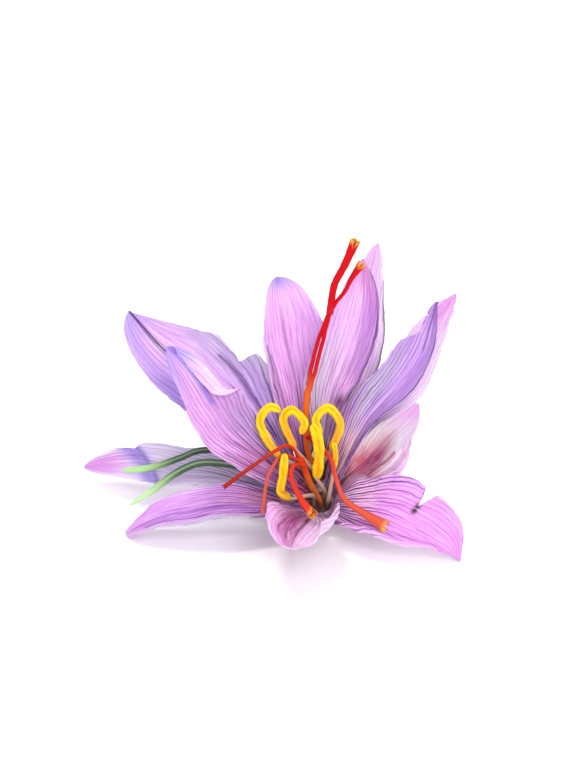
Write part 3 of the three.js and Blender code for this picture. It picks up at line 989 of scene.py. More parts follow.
@dataclass(frozen=True)
class Rod:
    """A closed rod whose section may change along its path."""

    path: SmoothPath
    steps: int
    sides: int
    up: np.ndarray | None = None

    def shares(self, crowd: float = 1.0) -> np.ndarray:
        """Shares along the path, crowded towards both ends."""
        x = np.linspace(-1, 1, self.steps + 1)
        return 0.5 + 0.5 * np.sign(x) * (1 - (1 - np.abs(x)) ** crowd)

    def angles(self) -> np.ndarray:
        """Angles round the section."""
        return np.arange(self.sides) * 2 * np.pi / self.sides

    def ring_grid(self, t: np.ndarray, wide: np.ndarray, high: np.ndarray) -> np.ndarray:
        """Points at wide x cosine sideways and high x sine upwards from the path.

        Args:
            t: shares along the path.
            wide: half widths, of shape (len(t), sides).
            high: half heights, of the same shape.

        Returns:
            The grid of points.
        """
        centre, side, lift, _ = rod_frame(self.path, t, self.up)
        a = self.angles()
        return (centre[:, None] + side[:, None] * (wide * np.cos(a))[..., None]
                + lift[:, None] * (high * np.sin(a))[..., None])

    def closed(self, mesh: GridMesh, grid: np.ndarray, t: np.ndarray, tone: np.ndarray,
               mark: float = 1.0) -> None:
        """Adds a grid of rings to the mesh with a cap at each end.

        Args:
            mesh: the mesh that takes it.
            grid: rings of points.
            t: shares along the path.
            tone: colours, of shape (len(t), sides, 3) or one that spreads to it.
            mark: value of the mesh's mark.
        """
        shape = grid.shape[:2]
        turn = np.abs(np.linspace(-1, 1, self.sides))
        along = t[:, None] * self.path.length() * 0.1
        uv = np.stack([np.broadcast_to(turn, shape), np.broadcast_to(along, shape)], -1)
        tone = np.broadcast_to(tone, shape + (3,))
        start = mesh.add_points(grid, uv, tone, np.full(shape, mark))
        number = np.arange(shape[0] * shape[1]).reshape(shape) + start
        mesh.add_quads(number, wrap=True, flip=True)
        for row, flip in ((0, True), (-1, False)):
            middle = grid[row].mean(axis=0)[None]
            centre = mesh.add_points(middle, uv[row, :1], tone[row, :1], np.full(1, mark))
            mesh.add_fan(number[row], centre, flip)


@dataclass(frozen=True)
class Stamen:
    """A pale filament and the long curling anther that it carries."""

    name: str
    bloom: Bloom
    azimuth: float
    anther: tuple[Point, ...]
    bend: Point | None = None
    seed: int = 1
    width: float = 1.75
    depth: float = 1.15
    filament_radius: float = 0.42
    faded: float = 0.45

    def make_anther(self, origin: np.ndarray) -> bpy.types.Object:
        """Four long pollen lobes: the section is dented where its faces are flat and at its edges.

        Args:
            origin: shift to the part's origin.

        Returns:
            The mesh object.
        """
        rod = Rod(SmoothPath(np.array(self.anther)), 150, 44, np.array(TOWARDS_VIEWER))
        t = rod.shares(1.5)
        a = rod.angles()[None]
        end = np.maximum(1 - np.abs(2 * t - 1) ** 9, 0.03)[:, None] ** 0.5
        swell = (1 + 0.1 * waves(t, self.seed, 4, 2.0))[:, None]
        groove = 1 - 0.34 * np.abs(np.sin(a)) ** 10 - 0.12 * np.abs(np.cos(a)) ** 14
        lumps = 1 + 0.035 * waves(t[:, None] * 9 + 2.1 * np.sin(a), self.seed + 3, 5, 1.0)
        both = end * swell * groove * lumps
        grid = rod.ring_grid(t, self.width / 2 * both, self.depth / 2 * both)
        # Orange on the broad faces along the grooves: partly the anther's own orange and partly painted
        # shade in the grooves.
        deep = np.abs(np.sin(a)) ** 8 * np.ones_like(t)[:, None]
        tone = lerp(np.broadcast_to(linear("fccb08"), grid.shape), linear("e88a04"), 0.8 * deep)
        patch = smooth(waves(t[:, None] * 3 + 0.6 * np.cos(a), self.seed + 9, 4, 1.0))
        tone = lerp(tone, linear("ffe200"), 0.6 * patch)
        old = self.faded * smooth((0.6 - t) / 0.5)[:, None] * (1 - 0.4 * patch)
        tone = lerp(tone, linear("f2a23a"), old)
        mesh = GridMesh(origin)
        rod.closed(mesh, grid, t, tone)
        return mesh.build(f"{self.name}_anther")

    def make_filament(self, origin: np.ndarray) -> bpy.types.Object:
        """A round thread that narrows towards its anther.

        Args:
            origin: shift to the part's origin.

        Returns:
            The mesh object.
        """
        throat = THROATS[self.bloom]
        out = radial(self.azimuth)
        root = throat + 1.3 * out - 0.2 * AXIS
        first, second = np.array(self.anther[0]), np.array(self.anther[1])
        reach = np.linalg.norm(first - root)
        middle = np.array(self.bend) if self.bend else root + 0.4 * reach * AXIS + 0.3 * out
        inside = first + 0.5 * unit(second - first)
        rod = Rod(SmoothPath(np.vstack([root - 1.2 * AXIS, root, middle, first, inside])), 40, 14)
        t = rod.shares()
        radius = np.broadcast_to((self.filament_radius * (1.25 - 0.45 * t))[:, None], (len(t), rod.sides))
        grid = rod.ring_grid(t, radius, radius)
        low = np.broadcast_to(linear("84604c"), grid.shape)
        tone = lerp(low, linear("d0ac94"), smooth(t / 0.9)[:, None])
        mesh = GridMesh(origin)
        rod.closed(mesh, grid, t, tone)
        return mesh.build(f"{self.name}_filament")


@dataclass(frozen=True)
class Branch:
    """A branch of a style, ending in a fringed trumpet."""

    radius: float
    mouth: float
    path: tuple[Point, ...]
    fringe: float = 0.55
    faded: str = "bc0210"
    rim: str = "f4c45c"


@dataclass(frozen=True)
class Style:
    """A red style and its three stigma branches."""

    name: str
    bloom: Bloom
    radius: float
    stem: tuple[Point, ...]
    branches: tuple[Branch, ...]
    low: str = "d8641c"
    middle: str = "bc1420"
    top: str = "bc0210"
    twin: bool = False

    def tones(self, t: np.ndarray, start: float, stop: float) -> np.ndarray:
        """Orange in the throat, brick red along the stem and scarlet towards the stigmas.

        Args:
            t: places along the stretch.
            start: the share of the style where the stretch starts.
            stop: the share of the style where it ends.

        Returns:
            A colour for each place.
        """
        share = start + (stop - start) * t
        low = np.broadcast_to(linear(self.low), t.shape + (3,))
        tone = lerp(low, linear(self.middle), smooth((share - 0.3) / 0.13))
        return lerp(tone, linear(self.top), smooth((share - 0.42) / 0.12))

    def add_branch(self, mesh: GridMesh, branch: Branch, seed: int) -> None:
        """A rod that opens into a hollow trumpet with a ragged rim and a slit down one side.

        The rim's reach along the path is a jagged line round the mouth, and the radius grows
        with a power of the share along the branch.

        Args:
            mesh: the mesh that takes it.
            branch: the branch.
            seed: seed of its fringes.
        """
        rod = Rod(SmoothPath(np.array(branch.path)), 90, 40)
        t = np.linspace(0, 1, rod.steps + 1)
        a = rod.angles()
        length = rod.path.length()
        teeth = 2 * np.abs((a * 10 / (2 * np.pi)) % 1.0 - 0.5)
        jag = branch.fringe * (0.7 * teeth + 0.5 * waves(a / (2 * np.pi), seed, 5, 3.0))
        slit = 1.3 * np.exp(-((a - np.pi / 2) / 0.28) ** 2) * min(branch.mouth, 1.0)
        radius = branch.radius + (branch.mouth - branch.radius) * np.maximum(0, 2 * t - 1) ** 1.5
        radius = radius[:, None] * (1 + 0.1 * np.cos(3 * a + seed) * smooth(t / 0.6)[:, None])
        radius = radius * (1 + 0.05 * waves(t * 4, seed, 4, 1.5)[:, None])
        wide = radius * (1 + 0.12 * smooth((t - 0.8) / 0.2)[:, None])
        high = radius * (1 - 0.22 * smooth((t - 0.5) / 0.5)[:, None])
        outer = rod.ring_grid(t, wide, high)
        _, _, _, tangent = rod_frame(rod.path, t)
        reach = (jag - slit) * smooth((t[:, None] - 0.86) / 0.14) ** 2
        outer = outer + tangent[:, None] * reach[..., None]
        depth = min(4.5 / length, 0.4)
        ti = np.linspace(1, 1 - depth, 26)
        rows = ti * rod.steps
        low = np.floor(rows).astype(int)
        up = np.minimum(low + 1, rod.steps)
        inner_wide = wide[low] + (wide[up] - wide[low]) * (rows - low)[:, None]
        inner_high = high[low] + (high[up] - high[low]) * (rows - low)[:, None]
        wall = np.minimum(0.1 + 0.5 * (1 - ti), 0.8)[:, None]
        inner = rod.ring_grid(ti, np.maximum(inner_wide - wall, 0.08), np.maximum(inner_high - wall, 0.06))
        inner_tangent = rod_frame(rod.path, ti)[3]
        inner_reach = (jag - slit) * smooth((ti[:, None] - 0.86) / 0.14) ** 2
        inner = inner + inner_tangent[:, None] * inner_reach[..., None]
        whole = np.concatenate([outer, inner], axis=0)
        share = np.concatenate([t, ti])
        tone = self.tones(share, 0.45, 1.0)[:, None] * np.ones((1, rod.sides, 1))
        tone = lerp(tone, linear(branch.faded), 0.85 * smooth(share / 0.7)[:, None] * np.ones(rod.sides))
        at_rim = smooth((share - 1 + 1.1 / length) / (1.1 / length))[:, None]
        tipped = 0.35 + 0.65 * smooth(jag / branch.fringe)
        tone = lerp(tone, linear(branch.rim), 0.85 * at_rim * tipped)
        # Dark red inside the hollow trumpet: painted shade in the hollow.
        inside = np.concatenate([np.zeros(len(t)), smooth((1 - ti) / depth)])[:, None] * np.ones(rod.sides)
        tone = lerp(tone, linear("7a1710"), 0.8 * inside)
        rod.closed(mesh, whole, share, tone)

    def make(self, origin: np.ndarray) -> bpy.types.Object:
        """The stem and its branches as closed rods in one mesh.

        Args:
            origin: shift to the part's origin.

        Returns:
            The mesh object.
        """
        throat = THROATS[self.bloom]
        stem = np.vstack([throat - 2.5 * AXIS, throat + 0.6 * AXIS, np.array(self.stem)])
        rod = Rod(SmoothPath(stem), 130, 26, np.array(TOWARDS_VIEWER))
        t = rod.shares(1.3)
        a = rod.angles()
        rounded = np.maximum(1 - np.maximum(2 * t - 1, 0) ** 14, 0.02) ** 0.5
        radius = (0.4 + (self.radius - 0.4) * smooth(2 * t)) * rounded * (1 + 0.04 * waves(t * 5, 5))
        ridged = radius[:, None] * (1 + 0.07 * np.cos(3 * a + 4 * t[:, None]))
        mesh = GridMesh(origin)
        tone = self.tones(t, 0.0, 0.62)[:, None]
        if self.twin:
            part = smooth((t - 0.6) / 0.06) * smooth((0.9 - t) / 0.06)
            _, side, _, _ = rod_frame(rod.path, t, rod.up)
            for sign in (-1, 1):
                slim = ridged * (1 - 0.26 * part)[:, None]
                apart = sign * (0.12 + 0.34 * part)
                rod.closed(mesh, rod.ring_grid(t, slim, slim) + (side * apart[:, None])[:, None], t, tone)
        else:
            rod.closed(mesh, rod.ring_grid(t, ridged, ridged), t, tone)
        for number, branch in enumerate(self.branches):
            self.add_branch(mesh, branch, 11 + 7 * number)
        return mesh.build(self.name)


@dataclass(frozen=True)
class Leaf:
    """A young leaf, laid back through the sheath: a narrow channelled blade with a white midrib."""

    name: str
    offset: float
    path: tuple[Point, ...]
    width: float = 1.6
    depth: float = 0.8
    taper: float = 0.91
    # Deep green, darkened further as painted shade where the leaves pass under the blooms.
    dark: str = "1c2c20"
    fresh: str = "3f6238"
    pale: str = "a8d488"
    midrib: str = "b8c8b0"

    def make(self, origin: np.ndarray) -> bpy.types.Object:
        """The section is an oval, dented into a channel above and swelling at the midrib below.

        Args:
            origin: shift to the part's origin.

        Returns:
            The mesh object.
        """
        laid = [(self.offset + float(sway(y)), y, LEAF_HEIGHT) for y in (CUT_END - 1, 34.0, 28.0, 22.0)]
        rod = Rod(SmoothPath(np.vstack([laid, self.path])), 230, 36, np.array(TOWARDS_VIEWER))
        t = rod.shares(1.2)
        a = rod.angles()[None]
        beyond = np.clip((t - self.taper) / (1 - self.taper), 0, 1)
        narrow = np.sqrt(np.maximum(1 - beyond ** 2.6, 0.012))[:, None]
        channel = 1 - 0.5 * np.exp(-((a - np.pi / 2) / 0.3) ** 2)
        rib = 1 + 0.25 * np.exp(-((a - 3 * np.pi / 2) / 0.25) ** 2)
        wide = self.width / 2 * narrow * np.ones_like(a) * (1 + 0.03 * waves(t * 6, 3)[:, None])
        high = self.depth / 2 * np.maximum(narrow, 0.35 * (narrow > 0.2)) * channel * rib
        grid = rod.ring_grid(t, wide, high)
        # Darker towards the sheath: partly the leaf's own deep green and partly painted shade where the
        # leaves pass under the blooms.
        tone = lerp(np.broadcast_to(linear(self.dark), grid.shape), linear(self.fresh),
                    smooth(t / 0.9)[:, None] * 0.7 + 0 * a)
        top = np.exp(-((a - np.pi / 2) / 0.2) ** 2)
        under = np.exp(-((a - 3 * np.pi / 2) / 0.3) ** 2)
        tone = lerp(tone, linear(self.midrib), 0.7 * top + 0.45 * under + 0 * t[:, None])
        tone = lerp(tone, linear(self.pale), 0.92 * smooth((t - 0.83) / 0.13)[:, None] + 0 * a)
        tone = lerp(tone, linear("e6eccd"), 0.9 * smooth((0.14 - t) / 0.12)[:, None] + 0 * a)
        mesh = GridMesh(origin)
        rod.closed(mesh, grid, t, tone)
        return mesh.build(self.name)


def add_sleeve(mesh: GridMesh, outer: np.ndarray, inner: np.ndarray, uv: np.ndarray,
               outer_tone: np.ndarray, inner_tone: np.ndarray) -> None:
    """Adds a hollow sleeve: outer rings, inner rings and the rims that join them.

    Args:
        mesh: the mesh that takes it.
        outer: rings of points outside.
        inner: the same number of rings inside.
        uv: the map, in the rings' shape.
        outer_tone: colours outside.
        inner_tone: colours inside.
    """
    shape = outer.shape[:2]
    number = np.arange(shape[0] * shape[1]).reshape(shape)
    first = mesh.add_points(outer, uv, outer_tone, np.ones(shape))
    second = mesh.add_points(inner, uv, inner_tone, np.ones(shape))
    mesh.add_quads(number + first, wrap=True, flip=True)
    mesh.add_quads(number + second, wrap=True)
    for row, flip in ((0, False), (-1, True)):
        mesh.add_quads(np.stack([number[row] + first, number[row] + second]), wrap=True, flip=flip)


@dataclass(frozen=True)
class FlowerTube:
    """The long perianth tube below a bloom, which opens into its throat."""

    bloom: Bloom
    steps: int = 170
    sides: int = 48
    pale: str = "e9dde6"
    throat_tone: str = "b7949c"
    inside: str = "8d6a60"

    def path(self) -> SmoothPath:
        """The way from the throat, down and back through the sheath to the cut end.

        Returns:
            The path.
        """
        throat = THROATS[self.bloom]
        if self.bloom is Bloom.REAR:
            bend, sign = [throat - 4 * AXIS, (-0.9, 7.2, 4.4), (-1.3, 12.0, 2.6)], -1
        else:
            bend, sign = [throat - 3 * AXIS, (1.3, 2.4, 2.2), (1.6, 8.0, 2.2)], 1
        aside = sign * TUBE_SPACING / 2
        laid = [(aside + float(sway(y)), y, TUBE_HEIGHT) for y in (18.0, 24.0, 30.0, 36.0, CUT_END)]
        return SmoothPath(np.vstack([throat, *bend, *laid]))

    def make(self, origin: np.ndarray) -> bpy.types.Object:
        """The radius grows from the tube's to the throat's with a power of the nearness to it.

        Args:
            origin: shift to the part's origin.

        Returns:
            The mesh object.
        """
        rod = Rod(self.path(), self.steps, self.sides, ACROSS)
        length = rod.path.length()
        t = np.linspace(0, 1, self.steps + 1) ** 1.35
        distance = t * length
        a = rod.angles()
        near = np.maximum(0, 1 - distance / THROAT_DEPTH)
        radius = TUBE_RADIUS + (THROAT_RADIUS - TUBE_RADIUS) * near ** 1.6
        ribs = 1 + 0.025 * np.cos(6 * a)[None] + 0.02 * waves(t * 7, 4)[:, None]
        outer_r = radius[:, None] * ribs
        inner_r = outer_r - TUBE_WALL * 0.75
        outer = rod.ring_grid(t, outer_r, outer_r)
        inner = rod.ring_grid(t, inner_r, inner_r)
        uv = np.stack([np.broadcast_to(np.abs(a / np.pi - 1), outer.shape[:2]),
                       np.broadcast_to(t[:, None] * 5, outer.shape[:2])], -1)
        near = (1 - smooth(distance / 9.0))[:, None] + 0 * a
        tone = lerp(np.broadcast_to(linear(self.pale), outer.shape), linear(self.throat_tone), near)
        deep = lerp(np.broadcast_to(linear(self.pale), outer.shape), linear(self.inside), near)
        mesh = GridMesh(origin)
        add_sleeve(mesh, outer, inner, uv, tone, deep)
        return mesh.build(f"{self.bloom.value}_tube")


@dataclass(frozen=True)
class Sheath:
    """The papery sheath round both tubes and the leaves, flat below and torn at its mouth."""

    mouth: float = 18.0
    end: float = 39.5
    width: float = 8.8
    height: float = 6.2
    centre: float = 2.6
    lip: float = 3.5
    tear: float = 0.7
    narrowing: float = 0.06
    wall: float = 0.3
    steps: int = 110
    sides: int = 150

    def rings(self, wall: float) -> tuple[np.ndarray, np.ndarray, np.ndarray]:
        """An oval sleeve held above the surface, whose mouth is an irregular line.

        Args:
            wall: how far inside the outer face.

        Returns:
            The rings, their shares along the sleeve and their angles.
        """
        v = np.linspace(0, 1, self.steps + 1)[:, None]
        a = (2 * np.pi * (np.arange(self.sides) + 0.5) / self.sides)[None]
        up = np.sin(a)
        bulge = 1 - self.narrowing * np.cos(2 * np.pi * v)
        mouth = self.mouth - self.lip * smooth((0.2 - up) / 1.2) + self.tear * np.sin(3 * a)
        mouth = mouth + 0.45 * waves(a / 6.283, 21, 6, 2.0) + 0.35 * np.abs(((a * 11 / 6.283) % 1.0) - 0.5)
        end = self.end + 0.25 * waves(a / 6.283, 8, 6, 3.0)
        y = mouth + (end - mouth) * v
        crease = 0.1 * waves(a / 6.283 + 0.02 * v, 31, 5, 5.0) * smooth((up + 0.5) / 0.6)
        flare = 0.35 * smooth((0.16 - v) / 0.16) * smooth(up + 0.3)
        x = sway(y) + (self.width / 2 * bulge - wall + crease) * np.cos(a)
        z = np.maximum(self.centre + (self.height / 2 * bulge - wall + crease + flare) * up, wall)
        return np.stack([x, y, z], -1), v, a

    def make(self, origin: np.ndarray) -> bpy.types.Object:
        """The dry cream skin with greenish fibres, browner at its torn mouth.

        Args:
            origin: shift to the part's origin.

        Returns:
            The mesh object.
        """
        outer, v, a = self.rings(0.0)
        inner, _, _ = self.rings(self.wall)
        uv = np.stack([np.broadcast_to(np.abs(a / np.pi - 1) * 1.6, outer.shape[:2]),
                       np.broadcast_to(v * 2, outer.shape[:2])], -1)
        pale = np.broadcast_to(linear("e7dcc2"), outer.shape)
        tone = lerp(pale, linear("c7b48e"), 0.8 * smooth((0.12 - v) / 0.12) + 0 * a)
        tone = lerp(tone, linear("d8d9b4"), 0.5 * smooth((v - 0.4) / 0.6) + 0 * a)
        mesh = GridMesh(origin)
        # The inner face takes the outer tones darkened by a tenth: painted shade inside the sleeve.
        add_sleeve(mesh, outer, inner, uv, tone, tone * 0.9)
        return mesh.build("papery_sheath")


# The studio

@dataclass(frozen=True)
class Studio:
    """A pale sweep of floor, soft lights and the photograph's camera."""

    floor_size: float = 6.0
    floor_tone: str = "fbfafb"

    def floor(self) -> bpy.types.Object:
        """A flat pale floor just under the blooms.

        Returns:
            The floor object.
        """
        half = self.floor_size / 2
        mesh = bpy.data.meshes.new("floor")
        corners = [(-half, -half, 0.0), (half, -half, 0.0), (half, half, 0.0), (-half, half, 0.0)]
        mesh.from_pydata(corners, [], [(0, 1, 2, 3)])
        desk = NodeDesk("floor_paper")
        desk.shader.inputs["Base Color"].default_value = (*linear(self.floor_tone), 1.0)
        desk.shader.inputs["Roughness"].default_value = 0.9
        desk.shader.inputs["Specular IOR Level"].default_value = 0.1
        mesh.materials.append(desk.material)
        made = bpy.data.objects.new("floor", mesh)
        made.location = (0.0, 0.0, -0.0002)
        bpy.context.scene.collection.objects.link(made)
        return made

    def light(self, name: str, place: Point, size: float, watts: float, colour: Point) -> bpy.types.Object:
        """A square soft light aimed at the blooms.

        Args:
            name: the light's name.
            place: where it stands, in metres.
            size: its side, in metres.
            watts: its power.
            colour: its colour.

        Returns:
            The light object.
        """
        lamp = bpy.data.lights.new(name, "AREA")
        lamp.shape = "SQUARE"
        lamp.size = size
        lamp.energy = watts
        lamp.color = colour
        made = bpy.data.objects.new(name, lamp)
        made.location = place
        direction = np.array([0.0, 0.0, 0.025]) - np.array(place)
        self.aim(made, direction)
        bpy.context.scene.collection.objects.link(made)
        return made

    @staticmethod
    def aim(thing: bpy.types.Object, direction: np.ndarray) -> None:
        """Turns an object so that its -Z looks along a direction.

        Args:
            thing: the object to turn.
            direction: where its -Z looks.
        """
        d = direction / np.linalg.norm(direction)
        pitch = math.acos(-d[2])
        yaw = math.atan2(d[1], d[0]) - math.pi / 2
        thing.rotation_euler = (pitch, 0.0, yaw)

    def camera(self, origin: np.ndarray) -> bpy.types.Object:
        """The camera at the photograph's place, 25 degrees above the surface.

        Args:
            origin: shift to the part's origin, in millimetres.

        Returns:
            The camera object.
        """
        elevation = math.radians(VIEW_ELEVATION)
        forward = np.array([0.0, math.cos(elevation), -math.sin(elevation)])
        place = (np.array(VIEW_TARGET) - VIEW_DISTANCE * forward + origin) * MM
        data = bpy.data.cameras.new("photo_camera")
        data.sensor_fit = "VERTICAL"
        data.sensor_height = SENSOR
        data.lens = SENSOR * VIEW_DISTANCE / (PHOTO_HEIGHT * MM_PER_PIXEL)
        data.clip_start = 0.01
        data.clip_end = 10.0
        made = bpy.data.objects.new("photo_camera", data)
        made.location = place
        made.rotation_euler = (math.pi / 2 - elevation, 0.0, 0.0)
        bpy.context.scene.collection.objects.link(made)
        bpy.context.scene.camera = made
        return made

    def world(self) -> None:
        """A plain white surround."""
        world = bpy.data.worlds.new("studio")
        world.use_nodes = True
        background = world.node_tree.nodes["Background"]
        background.inputs["Color"].default_value = (1.0, 1.0, 1.0, 1.0)
        background.inputs["Strength"].default_value = 0.82
        bpy.context.scene.world = world

    def make(self, origin: np.ndarray) -> None:
        """Sets up floor, lights, surround, camera and tone.

        Args:
            origin: shift to the part's origin.
        """
        self.floor()
        self.light("front", (0.16, -0.56, 0.42), 0.3, 2.9, (1.0, 0.99, 0.97))
        self.light("top", (-0.12, -0.1, 0.68), 0.16, 1.7, (1.0, 1.0, 1.0))
        self.light("back", (0.1, 0.55, 0.45), 0.4, 0.7, (1.0, 1.0, 1.0))
        self.world()
        self.camera(origin)
        bpy.context.scene.view_settings.view_transform = "Standard"
        bpy.context.scene.view_settings.look = "None"


# The two blooms

